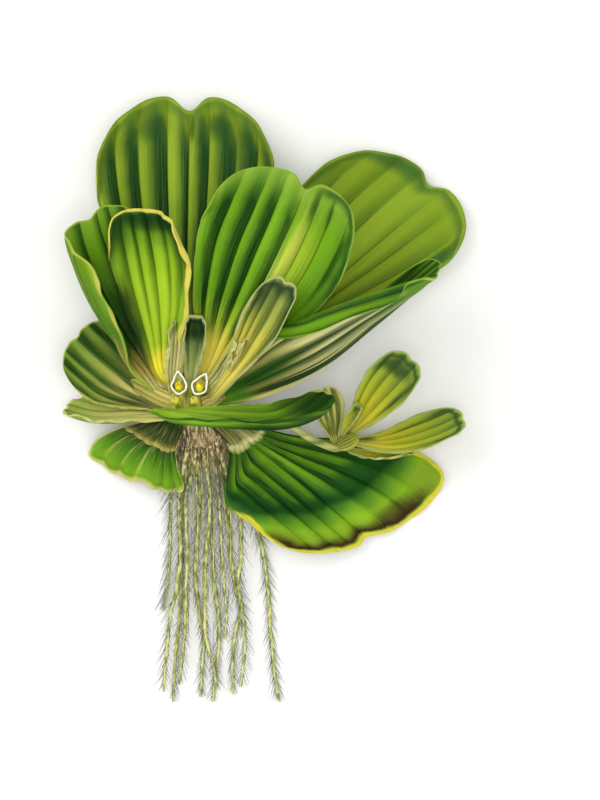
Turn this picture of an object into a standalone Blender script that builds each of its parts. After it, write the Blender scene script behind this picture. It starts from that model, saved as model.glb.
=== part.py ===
"""A water lettuce lying on its back, with its leaves, flowers, roots and one daughter plant.

The rosette has no stem of its own to stand on, so it lies on a surface with the face of
the plant up. X runs to the right across the plant, Y runs from the root tips to the tip
of the back leaf, and Z is the height above the surface. Lengths in the tables are
millimetres from the middle of the crown, seen from above.
"""

from dataclasses import dataclass

import bmesh
import bpy
import numpy as np
from mathutils import Matrix, Vector

MM = 0.001

# Where the middle of the crown stands, from the middle of the whole plant's outline.
CROWN_X = -29.17
CROWN_Y = -3.48

# The crown is the short thick stem that all the leaves and roots grow from.
CROWN_CENTRE = (-1.0, 2.0, 27.0)
CROWN_RADII = (8.0, 9.0, 8.0)
COLLAR_CENTRE = (4.8, -7.6, 18.2)
COLLAR_RADII = (7.4, 8.4, 5.0)

# Gap kept between pieces that touch, so that each stays a solid of its own.
GAP = 0.35

LEAF_GREEN = (0.16, 0.36, 0.035, 1)
OLD_GREEN = (0.21, 0.38, 0.05, 1)
YOUNG_GREEN = (0.20, 0.33, 0.12, 1)
PALE_GREEN = (0.50, 0.55, 0.22, 1)
CREAM = (0.80, 0.78, 0.55, 1)
YELLOW = (0.75, 0.62, 0.06, 1)
ROOT_OLIVE = (0.40, 0.39, 0.12, 1)
ROOT_BROWN = (0.26, 0.19, 0.10, 1)


@dataclass
class Leaf:
    """One leaf: a spine, the way it faces, its outline, and how its halves curl."""

    name: str
    spine: tuple  # points from the foot to the tip
    facing: tuple  # directions the upper face looks, at the foot and at the tip
    width: tuple  # widest half width, left and right of the midrib
    cup: tuple  # degrees that each half turns up, left and right
    lip: tuple = (0, 0)  # degrees that each margin turns up, or down if negative
    widest: tuple = (0.8, 0.8)  # share of the length where each half is widest
    swell: tuple = (1.3, 1.3)  # how late each half widens: higher is later
    foot: float = 6.0  # half width where the leaf leaves the crown
    rounding: float = 0.25  # share of the length taken by the round of the tip
    notch: float = 0.05  # depth of the notch in the tip, as a share of the length
    skew: float = 0.0  # how much further the right side of the tip reaches
    tip_lift: float = 0.0  # height of the turned rim along the tip
    ribs: int = 7
    relief: float = 2.0  # height of the pads between the ribs
    thick: tuple = (2.6, 1.2)  # at the foot and at the margin
    cells: tuple = (14, 7)  # faces across and along
    pressed: bool = False  # flattened where it lies on the surface
    colour: tuple = LEAF_GREEN


LEAVES = (
    Leaf("back_leaf_left", ((-1, 6.5, 19), (-2, 30, 9), (-2, 64, 1.3), (-1.5, 100, 3), (-1, 126, 11)),
         ((0, -0.25, 1), (0, -0.3, 1)), (41, 38), (26, 24), widest=(0.86, 0.86), foot=6.5, rounding=0.27,
         notch=0.055, tip_lift=2.5, ribs=8, cells=(16, 8), pressed=True, colour=OLD_GREEN),
    Leaf("back_leaf_right", ((9.9, 4.2, 20.6), (28, 25, 13.5), (52, 50, 6), (77, 74, 0.6), (98, 92, 3.5)),
         ((-0.2, -0.2, 1), (-0.1, -0.15, 1)), (37, 31), (22, 16), widest=(0.82, 0.95), swell=(1.3, 2.6),
         foot=5, rounding=0.24, notch=0.03, skew=0.05, tip_lift=1.5, ribs=7, relief=1.4, pressed=True,
         colour=OLD_GREEN),
    Leaf("middle_leaf", ((5, 9.8, 28), (13, 23, 33), (21, 36, 39), (29, 50, 43), (38, 69, 45), (47, 91, 42)),
         ((-0.1, -0.7, 1), (-0.1, -0.2, 1)), (34, 29), (15, 30), widest=(0.7, 0.78), foot=5, rounding=0.26,
         notch=0.05, tip_lift=1.5, ribs=8, cells=(16, 7)),
    Leaf("left_leaf", ((-6.5, 10, 30), (-11, 16, 32.5), (-12, 31, 36), (-12.8, 44, 39), (-14.8, 60, 41),
                       (-18.5, 79, 41)),
         ((0.1, -0.6, 1), (0.1, -0.35, 1)), (18, 19), (20, 66), widest=(0.78, 0.78), foot=3.2, rounding=0.2,
         notch=0, skew=-0.06, tip_lift=2.5, ribs=6, cells=(12, 7)),
    Leaf("outer_left_leaf", ((-11.2, 6.8, 26), (-17, 19, 26), (-24, 33, 27), (-31, 49, 29), (-37, 64, 33),
                             (-41, 77, 38)),
         ((0.3, -0.4, 1), (0.3, -0.2, 1)), (32, 20), (112, 12), widest=(0.7, 0.8), foot=4.5, rounding=0.24,
         notch=0.03, skew=0.05, ribs=7),
    Leaf("low_left_leaf", ((-10.4, -2.6, 24.9), (-24, -2.6, 20.9), (-38, -2.6, 18), (-51, 0, 16)),
         ((0.1, 0.8, 0.6), (0.2, 0.9, 0.5)), (12, 12), (30, 10), widest=(0.7, 0.7), foot=4.5, rounding=0.3,
         notch=0.02, ribs=5, cells=(10, 5), relief=1.2),
    Leaf("side_left_leaf", ((-11.3, -0.7, 28.3), (-19, 5.2, 23), (-29, 13.5, 20.5), (-39, 22, 19.5),
                            (-46.6, 29, 20.5)),
         ((0, -0.2, -1), (-0.1, -0.1, -1)), (17, 16), (16, 16), widest=(0.62, 0.62), swell=(2.2, 1.8),
         foot=2.4, rounding=0.34, notch=0.02, ribs=6, cells=(10, 6), relief=1.4),
    Leaf("lower_left_leaf", ((-8, -5.2, 20.9), (-11, -11, 20.5), (-15, -19, 16.5), (-20, -31, 7.5)),
         ((0.0, 0.3, 1), (-0.28, -0.25, 1)), (18.5, 26), (-8, -12), widest=(1.0, 0.95), swell=(3, 1.3),
         foot=5.5, rounding=0.12, skew=0.12, ribs=7, cells=(12, 6), pressed=True),
    Leaf("lower_right_leaf", ((12, -4.4, 23.6), (20, -11, 20.6), (35, -23, 13), (52, -37, 6), (72, -54, 1.4)),
         ((0.05, 0.15, 1), (0.1, 0.05, 1)), (41, 26), (10, 8), widest=(1.0, 0.27), foot=5.5, rounding=0.2,
         swell=(2.4, 5.5), notch=0.04, skew=-0.2, tip_lift=1.5, ribs=8, cells=(16, 7), pressed=True),
    Leaf("front_leaf", ((-12, -1.7, 33.7),
                        (-3, -3.3, 42), (14, -5.2, 43.8), (33, -5.8, 42.8), (46, -1.2, 39), (55, 5.5, 36)),
         ((0, 0.93, 0.36), (0.1, 0.93, 0.36)), (13, 17), (20, 40), widest=(0.6, 0.6), foot=4, rounding=0.42,
         notch=0, ribs=5, cells=(10, 7)),
    Leaf("right_folded_leaf", ((8.6, 2.6, 28), (31, 9, 32), (52, 18.5, 34), (71, 33, 36), (99, 55, 38)),
         ((-0.2, 0.5, -0.85), (-0.3, 0.65, 0.15)), (12, 34), (100, 28), lip=(0, -165), widest=(0.55, 0.5),
         foot=4.0, rounding=0.22, notch=0.02, skew=-0.06, swell=(1.6, 1.1), ribs=7),
    Leaf("young_leaf", ((8.0, 3.8, 32.6), (12.5, 9, 39.5), (20, 19, 46.2), (29, 34, 51.6), (38, 51, 54.4)),
         ((-0.5, -0.2, 1), (-0.4, -0.1, 1)), (10, 13), (35, 60), widest=(0.75, 0.75), foot=2.5, rounding=0.3,
         swell=(2.4, 2.8), notch=0.02, ribs=4, cells=(8, 6), relief=0.8, thick=(1.6, 0.8),
         colour=YOUNG_GREEN),
    Leaf("centre_leaf", ((-0.5, 9.8, 32.6), (0.2, 18, 35), (1.2, 28, 40), (2, 37, 45)),
         ((0, -0.6, 1), (0, -0.5, 1)), (6.4, 6.4), (70, 60), widest=(0.75, 0.75), foot=2, rounding=0.3,
         notch=0.01, ribs=2, cells=(6, 5), relief=0.4, thick=(1.4, 0.8), colour=YOUNG_GREEN),
    Leaf("daughter_leaf_left", ((56.8, -11.3, 15.6), (55.4, -6, 18.5), (53.6, 1, 20.5), (51.2, 8, 20.5)),
         ((0.3, 0.3, -1), (0.3, 0.2, -1)), (7.5, 8), (30, 30), widest=(0.7, 0.7), foot=2.2,
         rounding=0.3, ribs=5, cells=(8, 6), relief=0.9, thick=(1.6, 0.8), colour=PALE_GREEN),
    Leaf("daughter_leaf_up", ((63.2, -9.2, 16), (69, -2, 22), (77, 8, 27), (88, 20, 31)),
         ((-0.4, -0.4, 1), (-0.4, -0.3, 1)), (11, 12), (40, 50), widest=(0.72, 0.72), foot=2.2,
         rounding=0.3, notch=0.02, ribs=5, cells=(8, 6), relief=0.9, thick=(1.6, 0.8), colour=PALE_GREEN),
    Leaf("daughter_leaf_right", ((65.9, -13.5, 15), (80, -14, 15), (95, -10, 16), (109, -4, 19)),
         ((-0.1, 0.5, 0.9), (-0.1, 0.5, 0.9)), (9, 10), (40, 45), widest=(0.65, 0.65), foot=2.2,
         rounding=0.35, ribs=5, cells=(8, 6), relief=0.9, thick=(1.6, 0.8), colour=PALE_GREEN),
    Leaf("daughter_leaf_low", ((64.2, -17.4, 13), (72, -19, 12), (82, -18.5, 11.5), (90, -16, 11.5)),
         ((0, 0.6, 0.8), (0, 0.6, 0.8)), (4, 4), (50, 60), widest=(0.6, 0.6), foot=1.6,
         rounding=0.4, ribs=3, cells=(6, 5), relief=0.5, thick=(1.2, 0.7), colour=CREAM),
    Leaf("daughter_leaf_young", ((60.6, -9.6, 18.5), (63, -4, 23), (67, 2, 27)),
         ((0, -0.5, 1), (0, -0.5, 1)), (3, 3), (60, 60), widest=(0.7, 0.7), foot=1.2,
         rounding=0.35, ribs=1, cells=(4, 4), relief=0.3, thick=(1.0, 0.7), colour=YOUNG_GREEN),
)

# The runner that joins the daughter plant to the crown.
RUNNER = ((7.4, -3.4, 26.5), (16, -5, 27), (28, -5.5, 24), (38, -6, 20), (47, -12, 16), (56.6, -16, 14.5))
RUNNER_RADIUS = 1.5
DAUGHTER_CENTRE = (61.5, -14.0, 15.0)
DAUGHTER_RADII = (3.6, 3.6, 4.2)

# Each flower: middle of its hood, and how far the hood turns round the line of sight.
FLOWERS = (("left", (-4.9, 9.4, 37.6), 4), ("right", (3.4, 9.0, 37.6), -28))
BUDS = (("left", (-6.2, 2.8, 36.2)), ("right", (1.2, 2.9, 37.4)))


@dataclass
class Root:
    """One root, and the slim side roots that stand out of it."""

    name: str
    layer: str
    radius: float
    across: tuple  # at the crown, and then at each of the stations
    fringe: tuple = (7.0, 7.0)  # length of the side roots, left and right
    short: float = 0.0  # how far short of its last station it stops


# The roots: how far across each one is at fixed distances down from the crown. The upper
# ones lie over the lower ones, and all of them come down to the surface together.
ROOT_STATIONS = (-24.0, -36.8, -56.4, -70.4, -81.6, -92.8, -104.0, -118.0)
UPPER_HEIGHTS = (20.2, 13.6, 7.6, 4.6, 3.7, 3.4, 3.3, 3.3, 3.3)
LOWER_HEIGHTS = (15.8, 9.8, 4.6, 2.0, 1.2, 1.0, 1.0, 1.0, 1.0)
ROOTS = (
    Root("root_01", "lower", 0.7, (-2.0, -6.8, -8.5, -8.9, -10.0, -11.8), fringe=(11, 4)),
    Root("root_02", "upper", 0.9, (-0.7, -3.3, -5.4, -4.8, -6.0, -8.4, -9.8, -10.8, -11.6),
         fringe=(10, 6), short=4),
    Root("root_03", "lower", 0.8, (1.1, -1.4, -4.0, -4.2, -4.4, -5.0, -6.1, -7.0, -7.8), fringe=(4, 6)),
    Root("root_04", "upper", 0.9, (1.7, 0.4, -2.6, -2.2, -2.4, -2.8, -3.2, -4.4, -5.4), short=7),
    Root("root_05", "lower", 0.9, (3.2, 2.8, 2.8, 1.6, 1.4, 2.8, 4.4, 4.0, 3.2), short=2),
    Root("root_06", "upper", 0.9, (4.4, 5.6, 7.2, 5.6, 5.2, 5.2, 5.6, 8.4, 10.0), short=5),
    Root("root_07", "lower", 0.9, (5.6, 6.6, 6.8, 8.0, 8.8, 10.2, 10.8, 9.6, 8.0)),
    Root("root_08", "upper", 0.7, (6.9, 9.4, 10.8, 11.8, 12.8, 13.6, 13.2)),
    Root("root_09", "lower", 0.9, (8.0, 11.2, 14.0, 15.2, 17.0, 19.2, 16.8, 16.0, 16.4),
         fringe=(7, 8), short=3),
    Root("root_10", "upper", 0.9, (9.3, 13.4, 18.4, 19.6, 18.6, 20.0, 21.2, 20.4, 19.2),
         fringe=(7, 9), short=6),
    Root("root_11", "lower", 0.9, (10.6, 16.2, 22.4, 28.0, 30.0, 30.8, 31.6, 32.6, 34.8), fringe=(9, 9)),
)
SIDE_ROOT_ANGLE = 30.0
SIDE_ROOT_RADIUS = 0.3


def ease(x):
    """Rise smoothly from 0 to 1 while x goes from 0 to 1."""
    x = np.clip(x, 0, 1)
    return x * x * (3 - 2 * x)


def unit(vectors):
    return vectors / np.linalg.norm(vectors, axis=-1, keepdims=True)


def smooth_path(points, count=80):
    """Points along a curve through the given ones, evenly spaced."""
    points = np.array(points, float)
    padded = np.vstack([2 * points[0] - points[1], points, 2 * points[-1] - points[-2]])
    found = []
    for before, start, end, after in zip(padded, padded[1:], padded[2:], padded[3:]):
        for s in np.linspace(0, 1, 20, endpoint=False):
            found.append(start + 0.5 * s * (end - before + s * (2 * before - 5 * start + 4 * end - after
                         + s * (3 * start - 3 * end + after - before))))
    found = np.array(found + [points[-1]])
    length = np.concatenate([[0], np.cumsum(np.linalg.norm(np.diff(found, axis=0), axis=1))])
    even = np.linspace(0, length[-1], count)
    return np.stack([np.interp(even, length, axis) for axis in found.T], axis=1)


def leaf_surface(leaf, u, v):
    """The middle of the blade at u from -1 at the left margin to 1 at the right, and v from
    0 at the foot to 1 at the tip. It returns the points and the thickness there."""
    reach = 1 - leaf.rounding * (1 - np.sqrt(1 - np.abs(u) ** 2.6))
    reach = reach - leaf.notch * np.exp(-(u / 0.13) ** 2) + leaf.skew * u
    t = v * reach
    path = smooth_path(leaf.spine)
    share = np.linspace(0, 1, len(path))
    run = unit(np.gradient(path, axis=0))
    facing = unit(np.array(leaf.facing[0]) + share[:, None] * np.subtract(leaf.facing[1], leaf.facing[0]))
    facing = unit(facing - run * (facing * run).sum(axis=1, keepdims=True))
    side = np.cross(run, facing)

    def along(values):
        over = np.clip(t - 1, 0, None)[..., None] * (values[-1] - values[-2]) * (len(path) - 1)
        return np.stack([np.interp(t, share, axis) for axis in values.T], axis=-1) + over

    right = u > 0
    full = np.where(right, leaf.width[1], leaf.width[0])
    swell = np.where(right, leaf.swell[1], leaf.swell[0])
    grown = np.sin(np.pi / 2 * np.minimum(t / np.where(right, leaf.widest[1], leaf.widest[0]), 1)) ** swell
    half = leaf.foot + (full - leaf.foot) * grown
    cup = np.radians(np.where(right, leaf.cup[1], leaf.cup[0])) * (0.3 + 0.7 * ease(t / 0.4))
    lip = np.radians(np.where(right, leaf.lip[1], leaf.lip[0])) * ease((t - 0.1) / 0.4)
    across = np.zeros_like(t)
    height = np.zeros_like(t)
    steps = 16
    for k in range(steps):
        s = np.abs(u) * (k + 0.5) / steps
        turn = cup * ease(1.25 * s) + lip * ease((s - 0.66) / 0.3)
        across = across + half * np.abs(u) / steps * np.cos(turn)
        height = height + half * np.abs(u) / steps * np.sin(turn)
    turn = cup * ease(1.25 * np.abs(u)) + lip * ease((np.abs(u) - 0.66) / 0.3)
    pads = np.abs(np.sin(np.pi * leaf.ribs * (u + 1) / 2)) ** 0.75 - 0.6
    raised = leaf.relief * pads * ease(t / 0.15) * ease((1.02 - v) / 0.12) * ease((1.03 - np.abs(u)) / 0.12)
    raised = raised + leaf.tip_lift * ease((v - 0.86) / 0.14)
    across = across - raised * np.sin(turn)
    height = height + raised * np.cos(turn)
    points = along(path) + (np.sign(u) * across)[..., None] * along(side) + height[..., None] * along(facing)
    body = 1 - ease(np.maximum(v, np.abs(u)) / 0.9 - 0.1)
    thick = leaf.thick[1] + (leaf.thick[0] - leaf.thick[1]) * (1 - ease(t / 0.7)) * (0.4 + 0.6 * body)
    return points, thick


def clear_scene():
    for obj in list(bpy.data.objects):
        bpy.data.objects.remove(obj)


def new_collection(name):
    collection = bpy.data.collections.new(name)
    bpy.context.scene.collection.children.link(collection)
    return collection


def paint(obj, colour, roughness=0.5):
    material = bpy.data.materials.new(obj.name)
    material.use_nodes = True
    shader = material.node_tree.nodes["Principled BSDF"]
    shader.inputs["Base Color"].default_value = colour
    shader.inputs["Roughness"].default_value = roughness
    shader.inputs["Metallic"].default_value = 0
    obj.data.materials.clear()
    obj.data.materials.append(material)


def add_object(name, data, colour):
    obj = bpy.data.objects.new(name, data)
    PLANT.objects.link(obj)
    obj.parent = CROWN
    paint(obj, colour)
    return obj


def apply_modifiers(obj):
    """Make what the modifiers show the object's own mesh."""
    bpy.context.view_layer.update()
    shown = obj.evaluated_get(bpy.context.evaluated_depsgraph_get())
    obj.data = bpy.data.meshes.new_from_object(shown)
    obj.modifiers.clear()


def press_flat(obj):
    """Flatten the underside where the leaf lies on the surface."""
    for vertex in obj.data.vertices:
        vertex.co.z = max(vertex.co.z, 0)


def add_leaf(leaf):
    """A grid laid over the blade's middle surface, and Solidify to give it its thickness."""
    shape = bmesh.new()
    bmesh.ops.create_grid(shape, x_segments=leaf.cells[0], y_segments=leaf.cells[1], size=1)
    u = np.array([vertex.co.x for vertex in shape.verts])
    v = np.array([(vertex.co.y + 1) / 2 for vertex in shape.verts])
    points, thick = leaf_surface(leaf, u, v)
    for vertex, point in zip(shape.verts, points):
        vertex.co = point * MM
    mesh = bpy.data.meshes.new(leaf.name)
    shape.to_mesh(mesh)
    shape.free()
    obj = add_object(leaf.name, mesh, leaf.colour)
    group = obj.vertex_groups.new(name="thickness")
    for index, share in enumerate(thick / max(leaf.thick)):
        group.add([index], float(share), "REPLACE")
    shell = obj.modifiers.new("thickness", "SOLIDIFY")
    shell.thickness = max(leaf.thick) * MM
    shell.offset = 0
    shell.vertex_group = "thickness"
    if leaf.pressed:
        apply_modifiers(obj)
        press_flat(obj)
    obj.data.shade_smooth()
    obj.data.set_sharp_from_angle(angle=np.radians(18))
    return obj


def add_ball(name, centre, radii, colour, segments=12, rings=8):
    """A stretched ball."""
    shape = bmesh.new()
    bmesh.ops.create_uvsphere(shape, u_segments=segments, v_segments=rings, radius=1)
    bmesh.ops.scale(shape, vec=Vector(radii) * MM, verts=shape.verts)
    bmesh.ops.translate(shape, vec=Vector(centre) * MM, verts=shape.verts)
    mesh = bpy.data.meshes.new(name)
    shape.to_mesh(mesh)
    shape.free()
    mesh.shade_smooth()
    return add_object(name, mesh, colour)


def join(obj, other):
    """Fuse another solid into this one, and remove the other."""
    fuse = obj.modifiers.new("fuse", "BOOLEAN")
    fuse.operation = "UNION"
    fuse.object = other
    apply_modifiers(obj)
    bpy.data.objects.remove(other)


def add_tube(name, points, radii, colour, sides=6):
    """A round stem through the points, its radius given at each."""
    curve = bpy.data.curves.new(name, "CURVE")
    curve.dimensions = "3D"
    spline = curve.splines.new("POLY")
    spline.points.add(len(points) - 1)
    for point, place, radius in zip(spline.points, points, radii):
        point.co = (*(np.array(place) * MM), 1)
        point.radius = radius
    curve.bevel_depth = MM
    curve.bevel_resolution = (sides - 4) // 2
    curve.use_fill_caps = True
    return add_object(name, curve, colour)


def as_mesh(obj):
    """The same piece as a mesh with its caps welded on, for joining to another."""
    bpy.context.view_layer.update()
    shown = obj.evaluated_get(bpy.context.evaluated_depsgraph_get())
    mesh = bpy.data.meshes.new_from_object(shown)
    shape = bmesh.new()
    shape.from_mesh(mesh)
    bmesh.ops.remove_doubles(shape, verts=shape.verts, dist=0.00001)
    shape.to_mesh(mesh)
    shape.free()
    name = obj.name
    colour = obj.data.materials[0].node_tree.nodes["Principled BSDF"].inputs["Base Color"].default_value[:]
    bpy.data.objects.remove(obj)
    return add_object(name, mesh, colour)


def root_path(root):
    """The root's run, from just clear of the collar to its tip."""
    heights = UPPER_HEIGHTS if root.layer == "upper" else LOWER_HEIGHTS
    beside = (root.across[0] - COLLAR_CENTRE[0]) / COLLAR_RADII[0]
    above = (heights[0] - COLLAR_CENTRE[2]) / COLLAR_RADII[2]
    start = COLLAR_CENTRE[1] - COLLAR_RADII[1] * np.sqrt(max(1 - beside**2 - above**2, 0.12)) - 4 * GAP
    stations = [start, *ROOT_STATIONS[:len(root.across) - 1]]
    stations[-1] += root.short
    return smooth_path(list(zip(root.across, stations, heights)), 11)


def add_side_roots(root, path):
    """Slim cones that stand out of a root, down and outwards, on one side and then the other."""
    shape = bmesh.new()
    run = unit(np.gradient(path, axis=0))
    rise = 0.32 if root.layer == "upper" else 0.0
    for step, index in enumerate(range(4, len(path) - 1)):
        length = root.fringe[step % 2]
        turn = np.radians(SIDE_ROOT_ANGLE) * (1 if step % 2 else -1)
        down = run[index]
        aim = Vector((down[0] * np.cos(turn) - down[1] * np.sin(turn),
                      down[0] * np.sin(turn) + down[1] * np.cos(turn), rise)).normalized()
        start = Vector(path[index]) + aim * root.radius * 0.3
        cone = bmesh.ops.create_cone(shape, cap_ends=True, segments=3, radius1=SIDE_ROOT_RADIUS * MM,
                                     radius2=SIDE_ROOT_RADIUS * 0.4 * MM, depth=length * MM)
        bmesh.ops.translate(shape, vec=(0, 0, length / 2 * MM), verts=cone["verts"])
        bmesh.ops.rotate(shape, matrix=aim.to_track_quat("Z", "Y").to_matrix(), verts=cone["verts"])
        bmesh.ops.translate(shape, vec=start * MM, verts=cone["verts"])
    mesh = bpy.data.meshes.new("side_roots")
    shape.to_mesh(mesh)
    shape.free()
    return add_object("side_roots", mesh, ROOT_OLIVE)


def add_root(root):
    path = root_path(root)
    taper = root.radius * (1 - 0.55 * np.linspace(0, 1, len(path)) ** 2)
    cord = as_mesh(add_tube(root.name, path, taper, ROOT_OLIVE))
    join(cord, add_side_roots(root, path))
    return cord


def add_hood(side, centre, turn):
    """The white hood of a flower: a thin pocket, pointed at the top and open to the front."""
    shape = bmesh.new()
    bmesh.ops.create_uvsphere(shape, u_segments=10, v_segments=7, radius=1)
    bmesh.ops.bisect_plane(shape, geom=shape.verts[:] + shape.edges[:] + shape.faces[:], dist=0.00001,
                           plane_co=(0, 0, 0.15), plane_no=(0, 0, 1), clear_outer=True)
    for vertex in shape.verts:
        vertex.co.y += 0.45 * max(vertex.co.y, 0) ** 3
        vertex.co.x *= 1 - 0.35 * max(vertex.co.y, 0)
    bmesh.ops.scale(shape, vec=Vector((3.8, 4.4, 2.8)) * MM, verts=shape.verts)
    bmesh.ops.rotate(shape, matrix=Matrix.Rotation(np.radians(turn), 3, "Z"), verts=shape.verts)
    bmesh.ops.translate(shape, vec=Vector(centre) * MM, verts=shape.verts)
    mesh = bpy.data.meshes.new("flower_hood_" + side)
    shape.to_mesh(mesh)
    shape.free()
    mesh.shade_smooth()
    hood = add_object("flower_hood_" + side, mesh, CREAM)
    wall = hood.modifiers.new("wall", "SOLIDIFY")
    wall.thickness = 0.7 * MM
    return hood


clear_scene()
PLANT = new_collection("water_lettuce")
CROWN = bpy.data.objects.new("crown_place", None)
CROWN.location = (CROWN_X * MM, CROWN_Y * MM, 0)
PLANT.objects.link(CROWN)

crown = add_ball("crown", CROWN_CENTRE, CROWN_RADII, PALE_GREEN)
join(crown, add_ball("root_collar", COLLAR_CENTRE, COLLAR_RADII, ROOT_BROWN))
for leaf_plan in LEAVES:
    add_leaf(leaf_plan)

add_tube("runner", smooth_path(RUNNER, 12), [RUNNER_RADIUS] * 12, PALE_GREEN)
add_ball("daughter_crown", DAUGHTER_CENTRE, DAUGHTER_RADII, PALE_GREEN, segments=10, rings=7)
for side, centre, turn in FLOWERS:
    add_hood(side, centre, turn)
    add_ball("flower_spike_" + side, (centre[0], centre[1] - 0.6, centre[2]), (1.5, 2.2, 1.6), YELLOW, 8, 6)
for side, centre in BUDS:
    add_ball("bud_" + side, centre, (1.9, 1.9, 1.7), YELLOW, 8, 6)
for root_plan in ROOTS:
    add_root(root_plan)
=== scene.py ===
# %% [markdown]
# # A water lettuce, lying on its back
#
# Water lettuce floats: a rosette of soft, ribbed leaves sits on the water and a brush of
# feathery roots hangs below it. Here the plant is out of the water and lies on a pale table,
# so we look straight down on the face of its leaves. A daughter plant grows at the end of a
# short runner on the right.
#
# The solid model is already made. This lesson gives each part its finer shape and its
# colours. We begin by loading the solids and keeping the size of their box, because the
# finished plant may not grow out of it.

# %% Load the solids
import math
from dataclasses import dataclass

import bpy
import numpy as np
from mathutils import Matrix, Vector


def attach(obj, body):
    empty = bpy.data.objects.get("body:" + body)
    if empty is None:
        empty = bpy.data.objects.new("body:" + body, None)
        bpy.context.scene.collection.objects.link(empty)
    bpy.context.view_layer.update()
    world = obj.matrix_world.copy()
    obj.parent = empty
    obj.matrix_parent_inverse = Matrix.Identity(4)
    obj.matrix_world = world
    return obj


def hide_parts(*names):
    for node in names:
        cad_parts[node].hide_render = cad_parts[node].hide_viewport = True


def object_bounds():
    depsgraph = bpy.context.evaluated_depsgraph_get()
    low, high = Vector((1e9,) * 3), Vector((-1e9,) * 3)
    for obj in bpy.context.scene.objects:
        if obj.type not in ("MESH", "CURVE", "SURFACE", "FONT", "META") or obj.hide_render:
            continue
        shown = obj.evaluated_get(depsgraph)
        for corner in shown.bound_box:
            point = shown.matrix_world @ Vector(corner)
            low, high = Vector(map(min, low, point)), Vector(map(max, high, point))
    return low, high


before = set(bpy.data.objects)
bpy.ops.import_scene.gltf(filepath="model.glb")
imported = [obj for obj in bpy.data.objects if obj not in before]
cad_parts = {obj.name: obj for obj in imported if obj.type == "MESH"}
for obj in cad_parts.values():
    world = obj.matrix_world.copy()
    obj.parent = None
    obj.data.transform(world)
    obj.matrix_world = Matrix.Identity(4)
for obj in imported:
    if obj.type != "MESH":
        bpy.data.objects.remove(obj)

solid_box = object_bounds()
bpy.ops.object.select_all(action="DESELECT")
print("solids:", len(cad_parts), "box in metres:", solid_box)

# %% [markdown]
# ## Millimetres and the middle of the crown
#
# Blender counts in metres. A leaf is easier to plan in millimetres from the crown, the short
# stem in the middle, so every table below does that, and `place` turns it into metres.

# %% Units and place
MM = 0.001
CROWN_X = -29.17
CROWN_Y = -3.48
CROWN_PLACE = np.array([CROWN_X, CROWN_Y, 0.0])


def place(points):
    return (np.array(points, float) + CROWN_PLACE) * MM


def within_box(points):
    """The same points, held inside the box of the solids."""
    return np.clip(points, solid_box[0], solid_box[1])


print("crown stands at", place((0, 0, 0)))

# %% [markdown]
# ## Camera, light and table
#
# A botanical drawing has almost no perspective. A long lens from 3.2 m away gives that look.
# A broad lamp at the upper left makes the ribs of the leaves stand out, one overhead lights
# the table, and a weak one at the lower right and bright surroundings keep the shadows light.

# %% Camera
LENS_MM = 360
CAMERA_HEIGHT = 3.215
PICTURE_MIDDLE = (43.2, 3.2, 0)


def add_to_scene(name, data):
    made = bpy.data.objects.new(name, data)
    bpy.context.scene.collection.objects.link(made)
    return made


eye = bpy.data.cameras.new("eye")
eye.lens = LENS_MM
eye.sensor_width = 36
eye.clip_end = 20
camera = add_to_scene("eye", eye)
camera.location = (*place(PICTURE_MIDDLE)[:2], CAMERA_HEIGHT)
bpy.context.scene.camera = camera
bpy.context.scene.view_settings.view_transform = "Standard"
print("camera at", tuple(camera.location))

# %% Lamps
LAMPS = (  # name, place and width in metres, watts
    ("key_lamp", (-1.3, 0.9, 1.5), 1.4, 16),
    ("fill_lamp", (1.3, -0.6, 1.6), 1.6, 3),
    ("top_lamp", (0.1, -0.1, 2.4), 1.0, 14),
)
for name, spot, size, power in LAMPS:
    light = bpy.data.lights.new(name, "AREA")
    light.size = size
    light.energy = power
    lamp = add_to_scene(name, light)
    lamp.location = spot
    lamp.rotation_euler = (-lamp.location).to_track_quat("-Z", "Y").to_euler()
world = bpy.data.worlds.new("bright_room")
world.use_nodes = True
background = world.node_tree.nodes["Background"]
background.inputs["Color"].default_value = (1.0, 0.995, 0.98, 1)
background.inputs["Strength"].default_value = 0.86
bpy.context.scene.world = world
print("lamps:", len(LAMPS))

# %% Table
JUST_BELOW = -0.0001  # so that the table and the undersides never lie in one plane
bpy.ops.mesh.primitive_plane_add(size=6, location=(0, 0, JUST_BELOW))
table = bpy.context.object
table.name = "table_top"
print("table is set")

# %% [markdown]
# ## Colours by the numbers of a paint box
#
# Colours are easier to pick as the 0 to 255 values of a screen. The shader wants linear
# light, so `ink` turns one into the other, in Python, when a colour goes into a material.


# %% The paint box
def ink(red, green, blue):
    share = np.array([red, green, blue]) / 255
    linear = np.where(share < 0.04045, share / 12.92, ((share + 0.055) / 1.055) ** 2.4)
    return (*map(float, linear), 1.0)


LIME = (152, 186, 36)
BRIGHT = (108, 158, 24)
LEAF = (78, 126, 26)
DEEP = (36, 82, 20)
DARK = (16, 52, 16)
OLIVE = (134, 158, 40)
SLATE = (58, 82, 50)
GREY_GREEN = (120, 132, 80)
CREAM = (222, 210, 140)
PALE = (200, 194, 116)
OCHRE = (188, 166, 82)
YELLOW = (244, 226, 70)
GOLD = (196, 172, 52)
WHITE = (246, 244, 230)
print("leaf green in linear light:", ink(*LEAF)[:3])
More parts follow.
